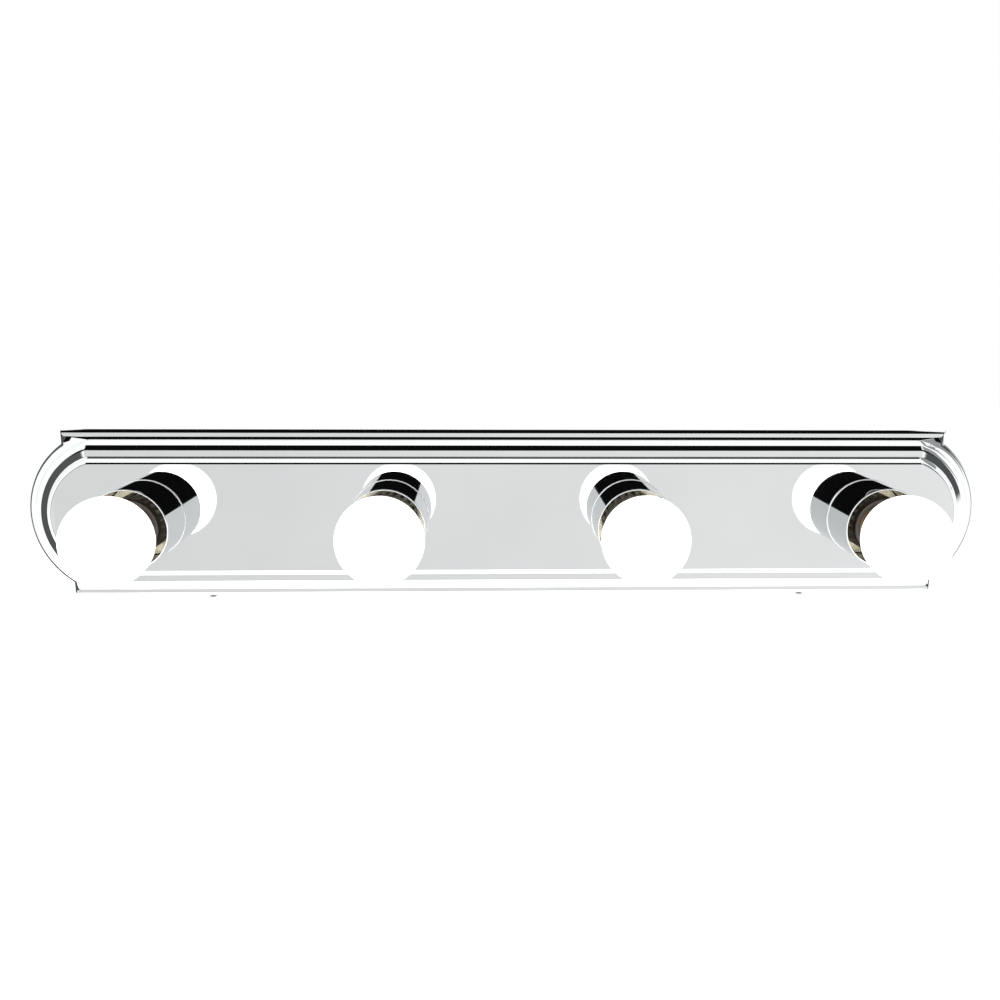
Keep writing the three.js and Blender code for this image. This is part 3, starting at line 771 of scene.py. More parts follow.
@dataclass
class FaceCover:
    """Stamped cover: a skirt, a beaded rail with square ears, a stepped moulding and a mirror field."""

    shop: Workshop
    light_xs: list[float]
    end_overhang: float = 2.2
    ear_setback: float = 23.0
    rail_depth: float = 8.2
    rail_round: float = 3.1
    rail_width: float = 4.3
    cove_width: float = 2.6
    cove_rise: float = 1.5
    field_inset: float = 20.7
    corner_reach: float = 1.6
    hole_radius: float = 5.5
    hook_width: float = 20.0
    hook_reach: float = 3.4
    hook_inset: float = 118.0
    arc_steps: int = 72

    def __post_init__(self) -> None:
        """Takes the cover's size from the frame."""
        low, high = extent("face_cover")
        self.half_length, self.half_height, self.face_depth = high.x, high.z, -low.y
        self.end_radius = self.half_height + self.end_overhang
        self.arc_x = self.half_length - self.end_radius

    def edge_section(self) -> list[Corner]:
        """Skirt and rounded rail, from the wall to the rail's inner edge."""
        return [
            (0, 0, 0),
            (0, self.rail_depth, self.rail_round),
            (self.rail_width, self.rail_depth, 0),
        ]

    def moulding_section(self) -> list[Corner]:
        """Riser, roll, tilted ledge, small riser, small roll and the edge of the field."""
        return [
            (self.rail_width + self.cove_width, self.rail_depth + self.cove_rise, 0),
            (10.3, 15.59, 4.5),
            (16.7, 16.09, 0.6),
            (19.76, self.face_depth, 1.6),
            (self.field_inset, self.face_depth, 0),
        ]

    def eared_outline(self, inset: float) -> list[Point]:
        """Outline whose rails run out past the end arcs to square ears.

        Args:
            inset: Distance in from the cover's edge.

        Returns:
            The outline's points, the same number at every inset.
        """
        radius = self.end_radius - inset
        z = self.half_height - inset
        ear_x = self.half_length - self.ear_setback - inset
        turn = math.acos((ear_x - self.arc_x) / radius)
        corners: list[Corner] = []
        for side in (1, -1):
            corners.append((-side * ear_x, -side * z, 0.7))
            corners.append((side * ear_x, -side * z, 0.7))
            for i in range(self.arc_steps + 1):
                angle = turn * (2 * i / self.arc_steps - 1)
                x, height = self.arc_x + radius * math.cos(angle), radius * math.sin(angle)
                corners.append((side * x, side * height, 0))
        return fillet(corners, closed=True, steps=4, support=FAR)

    def loop(self, inset: float) -> list[Point]:
        """Loop of two rails and two end arcs with eased mitres.

        Args:
            inset: Distance in from the cover's edge.

        Returns:
            The loop's points, the same number at every inset.
        """
        radius = self.end_radius - inset
        z = self.half_height - inset
        turn = math.asin(z / radius)
        mitre_x = self.arc_x + radius * math.cos(turn)
        eased = turn - self.corner_reach / radius
        arc_start = np.array((self.arc_x + radius * math.cos(eased), radius * math.sin(eased)))
        rail_end, mitre = np.array((mitre_x - self.corner_reach, z)), np.array((mitre_x, z))
        bend = [
            rail_end * (1 - t) ** 2 + mitre * 2 * t * (1 - t) + arc_start * t * t
            for t in np.linspace(0, 1, 10)
        ]
        arc = [
            np.array((self.arc_x + radius * math.cos(angle), radius * math.sin(angle)))
            for angle in np.linspace(eased, -eased, self.arc_steps)[1:-1]
        ]
        right = [*bend, *arc, *(point * (1, -1) for point in reversed(bend))]
        return [tuple(point) for point in right] + [tuple(-point) for point in right]

    def sweep(self, blank: Blank, section: Sequence[Point], outline: Callable[[float], list[Point]]) -> None:
        """Carries a section round the cover.

        Args:
            blank: The mesh to add to.
            section: Inset and depth of the section's points.
            outline: Gives the outline at an inset.
        """
        points = [(x * MM, -depth * MM, z * MM) for inset, depth in section for x, z in outline(inset)]
        blank.grid(np.array(points), len(section), looped=False)

    def build(self) -> None:
        """Makes the cover as one piece, then its hooks as a second piece."""
        blank = Blank()
        edge, moulding = self.edge_section(), self.moulding_section()
        inner_edge, inner_moulding = offset(edge, SHEET), offset(moulding, SHEET)
        inner_edge[-1] = (self.rail_width, self.rail_depth - SHEET, 0)
        inner_moulding[-1] = (self.field_inset, self.face_depth - SHEET, 0)
        skirt = [*reversed(fillet(inner_edge, steps=12)), *fillet(edge, steps=12)]
        self.sweep(blank, skirt, self.eared_outline)
        for section, rail in ((moulding, self.rail_depth), (inner_moulding, self.rail_depth - SHEET)):
            self.sweep(blank, fillet(section, steps=10), self.loop)
            inset, depth = section[0][:2]
            blank.skin([self.eared_outline(self.rail_width), self.loop(inset)], [rail, depth])
        holes = [circle(x, 0, self.hole_radius) for x in self.light_xs]
        for depth in (self.face_depth, self.face_depth - SHEET):
            blank.skin([self.loop(self.field_inset), *holes], [depth] * (1 + len(holes)))
        for hole in holes:
            rings = [(x * MM, -depth * MM, z * MM) for depth in (self.face_depth, self.face_depth - SHEET)
                     for x, z in hole]
            blank.grid(np.array(rings), 2, looped=False)
        self.shop.dress(blank.piece("face_cover_shell", smooth=50), Slot.CHROME, FIXTURE, "face_cover")
        self.hooks()

    def hooks(self) -> None:
        """Makes the two tabs that hang the cover on the pan's top flange."""
        blank = Blank()
        pan_low, pan_high = extent("back_pan")
        depth = -pan_low.y / 2
        for side in (-1, 1):
            x = side * (pan_high.x - self.hook_inset)
            blank.block((x - self.hook_width / 2, depth, pan_high.z - self.hook_reach),
                        (x + self.hook_width / 2, depth + SHEET, self.half_height - SHEET / 2))
        self.shop.dress(blank.piece("cover_hooks"), Slot.CHROME, FIXTURE)


@dataclass
class CoverScrew:
    """Pan-head screw that stands up through the cover's lower skirt into the pan."""

    shop: Workshop
    side: str
    shank_radius: float = 1.9
    head_height: float = 1.2
    pitch: float = 0.8
    thread_size: float = 0.2
    recess: float = 0.7
    recess_reach: float = 1.6
    recess_half_width: float = 0.3

    def build(self) -> None:
        """Makes the screw with its cross recess."""
        node = f"cover_screw_{self.side}"
        low, high = extent(node)
        middle = (low + high) / 2
        radius, length = (high.x - low.x) / 2, high.z - low.z
        root = self.shank_radius - self.thread_size
        start, end = self.head_height + 0.3, length - 0.8
        plain = fillet([
            (0, 0, 0), (radius * 0.72, 0, 1.2), (radius, self.head_height * 0.6, 0.5),
            (radius, self.head_height, 0.15), (root, self.head_height, 0.1),
            (root, length - 0.6, 0.2), (self.shank_radius - 0.7, length, 0.1), (0, length, 0),
        ], support=0.12)
        cut = next(i for i, (r, a) in enumerate(plain) if a > start and r < self.shank_radius)
        threaded = [(root, a) for a in np.linspace(start, end, 44)]
        point = [(r, a) for r, a in plain[cut:] if a > end]
        blank = Blank()
        blank.turn([*plain[:cut], *threaded, *point], Place(middle.x, -middle.y, low.z, Axis.UP), 40,
                   thread(self.thread_size, self.pitch, start, end))
        screw = blank.piece(f"{node}_turned")
        for along_x in (True, False):
            wide, thin = self.recess_reach, self.recess_half_width
            if not along_x:
                wide, thin = thin, wide
            tool = Blank()
            tool.block((middle.x - wide, -middle.y - thin, low.z - 1), (middle.x + wide, -middle.y + thin,
                       low.z + self.recess), 0.05)
            carve(screw, tool)
        self.shop.dress(screw, Slot.ZINC, FIXTURE, node)


# ---- Pan -----------------------------------------------------------------------------


@dataclass
class BackPan:
    """Galvanised wall pan: folded flanges, mounting slots, keyholes and the wire hole with its bush."""

    shop: Workshop
    corner_radius: float = 4.0
    fold_inset: float = 3.5
    fold_radius: float = 1.6
    key_radius: float = 4.6
    key_slot: float = 4.6
    key_rise: float = 9.0
    key_height: float = 20.0
    key_inset: float = 78.0
    box_slots: tuple[float, float] = (33.0, 45.0)
    box_slot_width: float = 4.8
    wire_hole_radius: float = 11.0
    bond_hole_radius: float = 2.8

    def __post_init__(self) -> None:
        """Takes the pan's size from the frame."""
        low, high = extent("back_pan")
        self.half_length, self.half_height, self.flange = high.x, high.z, -low.y

    def outline(self, inset: float) -> list[Point]:
        """Rounded rectangle.

        Args:
            inset: Distance in from the pan's edge.

        Returns:
            The outline's points, the same number at every inset.
        """
        x, z, radius = self.half_length - inset, self.half_height - inset, self.corner_radius - inset
        corners = [(-x, -z, radius), (x, -z, radius), (x, z, radius), (-x, z, radius)]
        return fillet(corners, closed=True, support=FAR)

    def slot(self, x: float, low: float, high: float, width: float) -> list[Point]:
        """Upright slot with round ends.

        Args:
            x: Its middle along the bar.
            low: Its lowest point.
            high: Its highest point.
            width: Its width.

        Returns:
            The slot's outline.
        """
        half = width / 2
        corners = [(x - half, low, half), (x + half, low, half), (x + half, high, half),
                   (x - half, high, half)]
        return fillet(corners, closed=True, steps=10, support=FAR)

    def keyhole(self, x: float) -> list[Point]:
        """Round hole with a slot above it.

        Args:
            x: Its middle along the bar.

        Returns:
            The keyhole's outline.
        """
        half = self.key_slot / 2
        start = math.acos(half / self.key_radius)
        hole = [
            (x + self.key_radius * math.cos(turn), self.key_height + self.key_radius * math.sin(turn))
            for turn in np.linspace(math.pi - start, 2 * math.pi + start, 36)
        ]
        top = self.key_height + self.key_rise
        end = [(x + half * math.cos(turn), top + half * math.sin(turn))
               for turn in np.linspace(0, math.pi, 14)]
        return [*hole, *end]

    def build(self) -> None:
        """Makes the pan with its slots, keyholes and holes."""
        blank = Blank()
        outer = [(0, self.flange, 0), (0, 0, self.fold_radius), (self.fold_inset, 0, 0)]
        inner = [(self.fold_inset, SHEET, 0), (SHEET, SHEET, self.fold_radius - SHEET),
                 (SHEET, self.flange, 0)]
        section = [*fillet(outer), *fillet(inner)]
        points = [(x * MM, -depth * MM, z * MM) for inset, depth in section for x, z in self.outline(inset)]
        blank.grid(np.array(points), len(section), looped=True)
        key_x = self.half_length - self.key_inset
        bush_low, bush_high = extent("wire_bush")
        screw_low, screw_high = extent("ground_screw")
        low, high = self.box_slots
        holes = [
            circle((bush_low.x + bush_high.x) / 2, 0, self.wire_hole_radius, 64),
            circle((screw_low.x + screw_high.x) / 2, 0, self.bond_hole_radius, 32),
            self.slot(0, low, high, self.box_slot_width),
            self.slot(0, -high, -low, self.box_slot_width),
            self.keyhole(-key_x),
            self.keyhole(key_x),
        ]
        blank.face([self.outline(self.fold_inset), *holes], 0, SHEET)
        self.shop.dress(blank.piece("back_pan_sheet"), Slot.GALVANISED, FIXTURE, "back_pan")

    def bush(self) -> None:
        """Makes the snap-in bush of the wire hole."""
        low, high = extent("wire_bush")
        x, front, flange = (low.x + high.x) / 2, -low.y, (high.x - low.x) / 2
        bore, sleeve = self.wire_hole_radius - GAP - 1.6, self.wire_hole_radius - GAP
        blank = Blank()
        blank.turn(fillet([
            (bore, GAP, 0.5), (sleeve, GAP, 0.3), (sleeve, SHEET + GAP, 0.1), (flange, SHEET + GAP, 0.3),
            (flange, front, 0.8), (bore, front, 0.7),
        ], closed=True, support=0.2), Place(x))
        self.shop.dress(blank.piece("wire_bush_moulding"), Slot.RUBBER, FIXTURE, "wire_bush")


# ---- One light -----------------------------------------------------------------------


@dataclass
class SocketCup:
    """Drawn chrome cup with a rounded foot and a rolled rim."""

    shop: Workshop
    number: int
    seat_depth: float = 21.02
    foot_radius: float = 1.3
    hub_radius: float = 5.5
    bead: float = 0.42

    def build(self) -> None:
        """Makes the cup and the bead round its foot, the bead in a near-white finish that is a painted
        highlight.
        """
        low, high = extent(f"socket_cup_{self.number}")
        x, radius, front, wall = (low.x + high.x) / 2, (high.x - low.x) / 2, -low.y, SHEET
        section = fillet([
            (self.hub_radius, self.seat_depth, 0),
            (radius, self.seat_depth, self.foot_radius),
            (radius, front, 0.38),
            (radius - wall, front, 0.38),
            (radius - wall, self.seat_depth + wall, 0.6),
            (self.hub_radius, self.seat_depth + wall, 0),
        ], closed=True)
        blank = Blank()
        blank.turn(section, Place(x), 144)
        cup = self.shop.dress(blank.piece(f"socket_cup_{self.number}_drawn"), Slot.CHROME, FIXTURE,
                              f"socket_cup_{self.number}", finish=CUP_CHROME)
        cup.data.materials.append(self.shop.material(CUP_INSIDE))
        for face in cup.data.polygons:
            out = math.hypot(face.center.x / MM - x, face.center.z / MM)
            deep = self.seat_depth + wall / 2 < -face.center.y / MM < front - wall / 2
            face.material_index = int(deep and out < radius - wall / 2)
        ring = Blank()
        middle = self.seat_depth + self.bead
        turns = np.linspace(0, 2 * math.pi, 17)[:-1]
        ring.turn([(radius - self.bead * 0.3 + self.bead * math.cos(t), middle + self.bead * math.sin(t))
                   for t in turns], Place(x), 144)
        # The bead's near-white finish is a painted highlight along the cup's foot.
        self.shop.dress(ring.piece(f"socket_cup_{self.number}_bead"), Slot.CHROME, FIXTURE,
                        finish=BEAD_PAINTED_HIGHLIGHT)


@dataclass
class Lampholder:
    """Phenolic holder with its threaded brass shell, centre contact, nipple and lock nut."""

    shop: Workshop
    number: int
    wall: float = 3.25
    floor: float = 2.0
    chamber: float = 4.2
    web: float = 2.4
    hub_radius: float = 5.5
    rivet_hole: float = 2.1
    flutes: int = 24
    flute_depth: float = 0.5
    shell_radius: float = 13.62
    shell_thread: float = 0.22
    shell_sheet: float = 0.3
    contact_sheet: float = 0.45
    contact_width: float = 7.0
    nipple_bore: float = 3.5
    nipple_pitch: float = 0.94
    nut_chamfer: float = 7.3

    def __post_init__(self) -> None:
        """Takes the holder's place and depths from the frame."""
        low, high = extent(f"lampholder_body_{self.number}")
        self.x = (low.x + high.x) / 2
        self.radius, self.back, self.front = (high.x - low.x) / 2, -high.y, -low.y
        self.web_back = self.back + self.floor + self.chamber
        self.web_front = self.web_back + self.web

    def build(self) -> None:
        """Makes every piece of the holder."""
        self.body()
        self.shell()
        self.contact()
        self.nipple()
        self.lock_nut()

    def body(self) -> None:
        """Makes the fluted phenolic body."""
        bore = self.radius - self.wall
        grip_low, grip_high = self.back + 6, self.front - 5
        section = fillet([
            (self.hub_radius, self.back, 0),
            (self.radius, self.back, 0.9),
            (self.radius, grip_low, 0),
            (self.radius, grip_high, 0),
            (self.radius, self.front, 0.9),
            (bore, self.front, 0.5),
            (bore, self.web_front, 0.3),
            (self.rivet_hole, self.web_front, 0),
            (self.rivet_hole, self.web_back, 0),
            (bore, self.web_back, 0.3),
            (bore, self.back + self.floor, 0.3),
            (self.hub_radius, self.back + self.floor, 0),
        ], closed=True)

        def grip(radius: np.ndarray, turn: np.ndarray, along: np.ndarray) -> np.ndarray:
            """Radii with flutes along the grip.

            Args:
                radius: Plain radii.
                turn: Angles round the axis.
                along: Distances along it.

            Returns:
                The fluted radii.
            """
            inside = (radius > self.radius - 0.01) & (along > grip_low + 0.1) & (along < grip_high - 0.1)
            return radius - inside * self.flute_depth * np.maximum(0, np.cos(self.flutes * turn)) ** 2

        blank = Blank()
        blank.turn(section, Place(self.x), 240, grip)
        node = f"lampholder_body_{self.number}"
        self.shop.dress(blank.piece(f"{node}_moulding"), Slot.PHENOLIC, FIXTURE, node)

    def shell(self) -> None:
        """Makes the rolled brass shell."""
        node = f"screw_shell_{self.number}"
        low, high = extent(node)
        back, front = -high.y, -low.y
        outer = [(self.shell_radius, depth) for depth in np.linspace(back + 0.8, front - 0.5, 90)]
        inner = [(radius - self.shell_sheet, depth) for radius, depth in reversed(outer)]
        section = [
            (9.1, back), (12.9, back), (13.4, back + 0.25), *outer,
            (self.shell_radius + 0.25, front), (self.shell_radius - 0.05, front), *inner,
            (12.9, back + self.shell_sheet + 0.1), (9.1, back + self.shell_sheet),
        ]
        blank = Blank()
        blank.turn(section, Place(self.x), 96,
                   thread(self.shell_thread, THREAD_PITCH, back + 1.2, front - 1.0))
        self.shop.dress(blank.piece(f"{node}_rolled"), Slot.BRASS, FIXTURE, node)

    def contact(self) -> None:
        """Makes the riveted contact with its bowed tongue."""
        node = f"centre_contact_{self.number}"
        low, high = extent(node)
        back, top, half = self.web_front + GAP, -low.y, (high.x - low.x) / 2
        sheet = self.contact_sheet
        strip = fillet([
            (self.x + half, back, 0.15), (self.x + half, back + sheet, 0.15),
            (self.x - half + sheet, back + sheet, 0.3), (self.x - half + sheet, top - sheet - 0.3, 0.5),
            (self.x, top - sheet, 3), (self.x + half / 2, top - sheet - 0.5, 0.15),
            (self.x + half / 2, top - 0.5, 0.15), (self.x, top, 3), (self.x - half, top - 0.2, 0.9),
            (self.x - half, back, 0.6),
        ], closed=True, support=FAR)
        blank = Blank()
        blank.face([strip], -self.contact_width / 2, self.contact_width / 2, Plane.EDGE)
        rivet = fillet([
            (0, self.web_back - 1, 0), (2.0, self.web_back - 1, 0.4), (2.0, self.web_back - 0.05, 0.1),
            (1.7, self.web_back, 0), (1.7, back + sheet, 0), (2.6, back + sheet, 0.1),
            (2.2, back + sheet + 0.6, 0.5), (0, back + sheet + 0.75, 0),
        ])
        blank.turn(rivet, Place(self.x), 32)
        self.shop.dress(blank.piece(f"{node}_strip"), Slot.BRASS, FIXTURE, node)

    def nipple(self) -> None:
        """Makes the threaded nipple that clamps the holder and the cup to the cover."""
        node = f"socket_nipple_{self.number}"
        low, high = extent(node)
        radius, back, front = (high.x - low.x) / 2 - 0.2, -high.y, -low.y
        outer = [(radius, depth) for depth in np.linspace(back, front, 90)]
        blank = Blank()
        blank.turn([(self.nipple_bore, back), *outer, (self.nipple_bore, front)], Place(self.x), 48,
                   thread(0.2, self.nipple_pitch, back, front))
        self.shop.dress(blank.piece(f"{node}_threaded"), Slot.ZINC, FIXTURE, node)

    def lock_nut(self) -> None:
        """Makes the hexagon nut with chamfered corners."""
        node = f"lock_nut_{self.number}"
        low, high = extent(node)
        back, front, corner = -high.y, -low.y, (high.x - low.x) / 2
        flat = corner * math.cos(math.pi / 6)
        hole = self.hub_radius
        rings, sides = 6, 144
        turn = np.tile(np.linspace(0, 2 * math.pi, sides, endpoint=False), rings)
        hexagon = flat / np.cos(turn % (math.pi / 3) - math.pi / 6)
        row = np.repeat(np.arange(rings), sides)
        chamfered = np.where((row == 2) | (row == 5), np.minimum(hexagon, self.nut_chamfer), hexagon)
        radius = np.where(row < 2, hole, chamfered)
        slope = np.maximum(hexagon - self.nut_chamfer, 0) * math.tan(math.pi / 6) + 0.05
        along = np.select([row == 0, row == 1, row == 2, row == 3, row == 4],
                          [back, front, front, front - slope, back + slope], back)
        blank = Blank()
        blank.grid(Place(self.x).points(radius, turn, along), rings)
        self.shop.dress(blank.piece(f"{node}_hexagon", smooth=25), Slot.ZINC, FIXTURE, node)


@dataclass
class Bulb:
    """Screw-in globe: lit opal glass, rolled cap, black glass insulator and solder tip."""

    shop: Workshop
    number: int
    globe_radius: float = 25.0
    glass: float = 1.0
    neck_radius: float = 11.8
    collar_radius: float = 13.2
    blend_angle: float = 46.0
    cap_sheet: float = 0.3
    cap_thread: float = 0.27
    tip_stem: float = 2.4

    def __post_init__(self) -> None:
        """Takes the bulb's place and depths from the frame."""
        self.body = f"bulb_{self.number}"
        globe_low, globe_high = extent(f"bulb_globe_{self.number}")
        cap_low, cap_high = extent(f"bulb_cap_{self.number}")
        self.x = (globe_low.x + globe_high.x) / 2
        self.radius, self.neck_back = (cap_high.z - cap_low.z) / 2, -globe_high.y
        self.globe_front = -globe_low.y
        self.cap_back, self.cap_front = -cap_high.y, -cap_low.y

    def build(self) -> None:
        """Makes every piece of the bulb."""
        self.globe()
        self.cap()
        self.insulator()
        self.tip()

    def globe(self) -> None:
        """Makes the glass with its short neck."""
        centre = self.globe_front - self.globe_radius
        start = math.radians(self.blend_angle)
        outer = [(self.neck_radius, self.neck_back), (self.neck_radius, self.cap_front - 0.4)]
        join = np.array((self.collar_radius, self.cap_front + 0.3))
        meet = np.array((self.globe_radius * math.sin(start), centre - self.globe_radius * math.cos(start)))
        reach = (meet[0] - join[0]) / math.cos(start)
        control = np.array((join[0], meet[1] - reach * math.sin(start)))
        for t in np.linspace(0, 1, 14):
            outer.append(tuple(join * (1 - t) ** 2 + control * 2 * t * (1 - t) + meet * t * t))
        for angle in np.linspace(start, math.pi, 61)[1:]:
            outer.append((self.globe_radius * math.sin(angle), centre - self.globe_radius * math.cos(angle)))
        outer[-1] = (0.0, centre + self.globe_radius)
        hollow = self.globe_radius - self.glass
        inner = [(self.neck_radius - self.glass, self.neck_back)]
        for angle in np.linspace(math.asin((self.neck_radius - self.glass) / hollow), math.pi, 40):
            inner.append((hollow * math.sin(angle), centre - hollow * math.cos(angle)))
        inner[-1] = (0.0, centre + hollow)
        blank = Blank()
        blank.turn([*reversed(inner), *outer], Place(self.x), 128)
        node = f"bulb_globe_{self.number}"
        self.shop.dress(blank.piece(f"{node}_glass"), Slot.OPAL, self.body, node)

    def cap(self) -> None:
        """Makes the rolled screw cap, crimped on the neck."""
        root = self.radius - self.cap_thread - 0.05
        start, end = self.cap_back + 1.4, self.cap_front - 2.0
        outer = [(root, depth) for depth in np.linspace(start, end, 100)]
        inner = [(root - self.cap_sheet, depth) for _, depth in reversed(outer)]
        section = [
            (8.6, self.cap_back), (11.4, self.cap_back), (12.2, self.cap_back + 0.4), *outer,
            (root + 0.1, end + 0.4), (self.radius - 0.05, end + 1.0),
            (self.radius - 0.05, self.cap_front - 0.3),
            (self.radius - 0.25, self.cap_front), (root, self.cap_front),
            (root - self.cap_sheet, end + 0.4), *inner,
            (12.0, self.cap_back + 0.9), (8.6, self.cap_back + self.cap_sheet),
        ]
        blank = Blank()
        blank.turn(section, Place(self.x), 96, thread(self.cap_thread, THREAD_PITCH, start + 0.2, end))
        node = f"bulb_cap_{self.number}"
        self.shop.dress(blank.piece(f"{node}_rolled"), Slot.CAP, self.body, node)

    def insulator(self) -> None:
        """Makes the black glass cone between cap and tip."""
        node = f"bulb_insulator_{self.number}"
        low, high = extent(node)
        back, front = -high.y, -low.y
        section = fillet([
            (2.7, back, 0), (4.7, back, 0.4), (8.2, self.cap_back - 0.4, 0.6), (8.2, front, 0.3),
            (2.7, front, 0),
        ], closed=True)
        blank = Blank()
        blank.turn(section, Place(self.x), 64)
        self.shop.dress(blank.piece(f"{node}_cone"), Slot.BLACK_GLASS, self.body, node)

    def tip(self) -> None:
        """Makes the solder tip on its contact disc."""
        node = f"bulb_tip_{self.number}"
        low, high = extent(node)
        back, front, radius = -high.y, -low.y, (high.x - low.x) / 2
        section = fillet([
            (0, back, 0), (radius * 0.5, back + 0.05, 2), (radius, back + 0.75, 0.5),
            (radius, back + 1.3, 0.1), (self.tip_stem, back + 1.3, 0.1), (self.tip_stem, front, 0.2),
            (0, front, 0),
        ])

        def slump(radii: np.ndarray, turn: np.ndarray, along: np.ndarray) -> np.ndarray:
            """Radii of a hand-soldered blob.

            Args:
                radii: Plain radii.
                turn: Angles round the axis.
                along: Distances along it.

            Returns:
                The uneven radii.
            """
            return radii * (1 - 0.02 * (1 + np.sin(3 * turn + self.number)) * (along < back + 1.2))

        blank = Blank()
        blank.turn(section, Place(self.x), 56, slump)
        self.shop.dress(blank.piece(f"{node}_solder"), Slot.SOLDER, f"{self.body}_carrier", node)


# ---- Wiring --------------------------------------------------------------------------


@dataclass
class Wiring:
    """Socket leads, bonding lead, wire nuts and the bonding screw."""

    shop: Workshop
    light_xs: list[float]
    lead_radius: float = 1.1
    bend: float = 6.0
    first_lane: float = 10.5
    lane_pitch: float = 3.4
    lane_depth: float = 9.4
    lane_stagger: float = 1.4
    splice_x: float = 27.0
    splice_height: float = 19.5
    bury: float = 6.0
    lead_back: float = 26.2
    lead_offset: float = 1.575
    nut_mouth: float = 4.6
    nut_tip: float = 3.0
    nut_length: float = 17.0
    nut_ribs: int = 12
    rib_depth: float = 0.45

    def build(self) -> None:
        """Makes every lead, nut and screw."""
        for number, x in enumerate(self.light_xs, 1):
            self.socket_lead(f"hot_lead_{number}", x, 1, Slot.HOT_LEAD)
            self.socket_lead(f"neutral_lead_{number}", x, -1, Slot.NEUTRAL_LEAD)
        self.wire_nut("wire_nut_hot", Axis.UP, Slot.RED_NUT)
        self.wire_nut("wire_nut_neutral", Axis.DOWN, Slot.RED_NUT)
        self.wire_nut("wire_nut_ground", Axis.DOWN, Slot.GREEN_NUT)
        self.ground_screw()
        self.ground_lead()

    def socket_lead(self, node: str, x: float, up: int, slot: Slot) -> None:
        """Makes a lead from its holder along its lane and into a wire nut.

        Args:
            node: The CAD node it stands for.
            x: The light's place along the bar.
            up: 1 above the centre line and -1 below it.
            slot: The lead's material slot.
        """
        side = math.copysign(1, x - self.splice_x)
        near = sum(1 for other in self.light_xs if math.copysign(1, other - self.splice_x) == side
                   and abs(other - self.splice_x) < abs(x - self.splice_x))
        lane = up * (self.first_lane + near * self.lane_pitch)
        depth = self.lane_depth + (self.lane_stagger if near % 2 == 0 else -self.lane_stagger)
        bundle_x = self.splice_x + side * self.lane_stagger
        offset_z = up * self.lead_offset
        blank = Blank()
        blank.tube([
            (x, self.lead_back, offset_z), (x, depth, offset_z), (x, depth, lane), (bundle_x, depth, lane),
            (bundle_x, depth, up * (self.splice_height + self.bury)),
        ], self.lead_radius, self.bend)
        self.shop.dress(blank.piece(f"{node}_insulated"), slot, FIXTURE, node)

    def wire_nut(self, node: str, axis: Axis, slot: Slot) -> None:
        """Makes a ribbed wire nut.

        Args:
            node: The CAD node it stands for.
            axis: Which way its tip points.
            slot: Its material slot.
        """
        low, high = extent(node)
        middle = (low + high) / 2
        mouth = low.z if axis is Axis.UP else high.z
        section = fillet([
            (0, self.bury + 1, 0), (self.nut_mouth - 1.2, self.bury + 1, 0.3), (self.nut_mouth - 1.2, 0, 0.2),
            (self.nut_mouth, 0, 0.4), (self.nut_mouth + 0.5, self.nut_length * 0.25, 0.8),
            (self.nut_mouth, self.nut_length * 0.36, 0.6), (self.nut_tip + 0.2, self.nut_length - 1.2, 1.2),
            (self.nut_tip * 0.6, self.nut_length, 0.6), (0, self.nut_length, 0),
        ], support=0.4)

        def ribs(radius: np.ndarray, turn: np.ndarray, along: np.ndarray) -> np.ndarray:
            """Radii with grip ribs on the body.

            Args:
                radius: Plain radii.
                turn: Angles round the axis.
                along: Distances along it.

            Returns:
                The ribbed radii.
            """
            within = (along > self.nut_length * 0.38) & (along < self.nut_length - 0.9)
            grip = within & (radius > self.nut_tip - 1)
            return radius - grip * self.rib_depth * (0.5 + 0.5 * np.cos(self.nut_ribs * turn))

        blank = Blank()
        blank.turn(section, Place(middle.x, -middle.y, mouth, axis), 120, ribs)
        self.shop.dress(blank.piece(f"{node}_moulding"), slot, FIXTURE, node)

    def ground_screw(self) -> None:
        """Makes the green slotted bonding screw."""
        low, high = extent("ground_screw")
        middle = (low + high) / 2
        back, front, head = -high.y, -low.y, (high.x - low.x) / 2
        under = front - 2.2
        shank = [(2.2, depth) for depth in np.linspace(back + 0.2, under, 40)]
        top = fillet([(2.2, under, 0), (head, under, 0.2), (head, front - 1, 0.4), (head * 0.72, front, 0.9),
                      (0, front, 0)])
        blank = Blank()
        blank.turn([(0, back), (1.8, back), *shank, *top[1:]], Place(middle.x), 48,
                   thread(0.2, 0.8, back, under))
        screw = blank.piece("ground_screw_turned")
        tool = Blank()
        tool.block((middle.x - head - 1, front - 0.9, -0.5), (middle.x + head + 1, front + 1, 0.5), 0.05)
        carve(screw, tool)
        self.shop.dress(screw, Slot.GREEN_SCREW, FIXTURE, "ground_screw")

    def ground_lead(self) -> None:
        """Makes the bonding lead from its screw to its wire nut."""
        screw_low, screw_high = extent("ground_screw")
        nut_low, nut_high = extent("wire_nut_ground")
        screw_x, head = (screw_low.x + screw_high.x) / 2, (screw_high.x - screw_low.x) / 2
        nut_x = (nut_low.x + nut_high.x) / 2
        low_depth, high_depth = SHEET + GAP + self.lead_radius, 4.6
        beside = -(2.4 + self.lead_radius + GAP)
        blank = Blank()
        blank.tube([
            (screw_x - head, low_depth, beside), (screw_x + head + self.bend, low_depth, beside),
            (nut_x, high_depth, beside), (nut_x, high_depth, -self.splice_height - self.bury),
        ], self.lead_radius, self.bend)
        self.shop.dress(blank.piece("ground_lead_insulated"), Slot.GROUND_LEAD, FIXTURE, "ground_lead")


# ---- Studio --------------------------------------------------------------------------


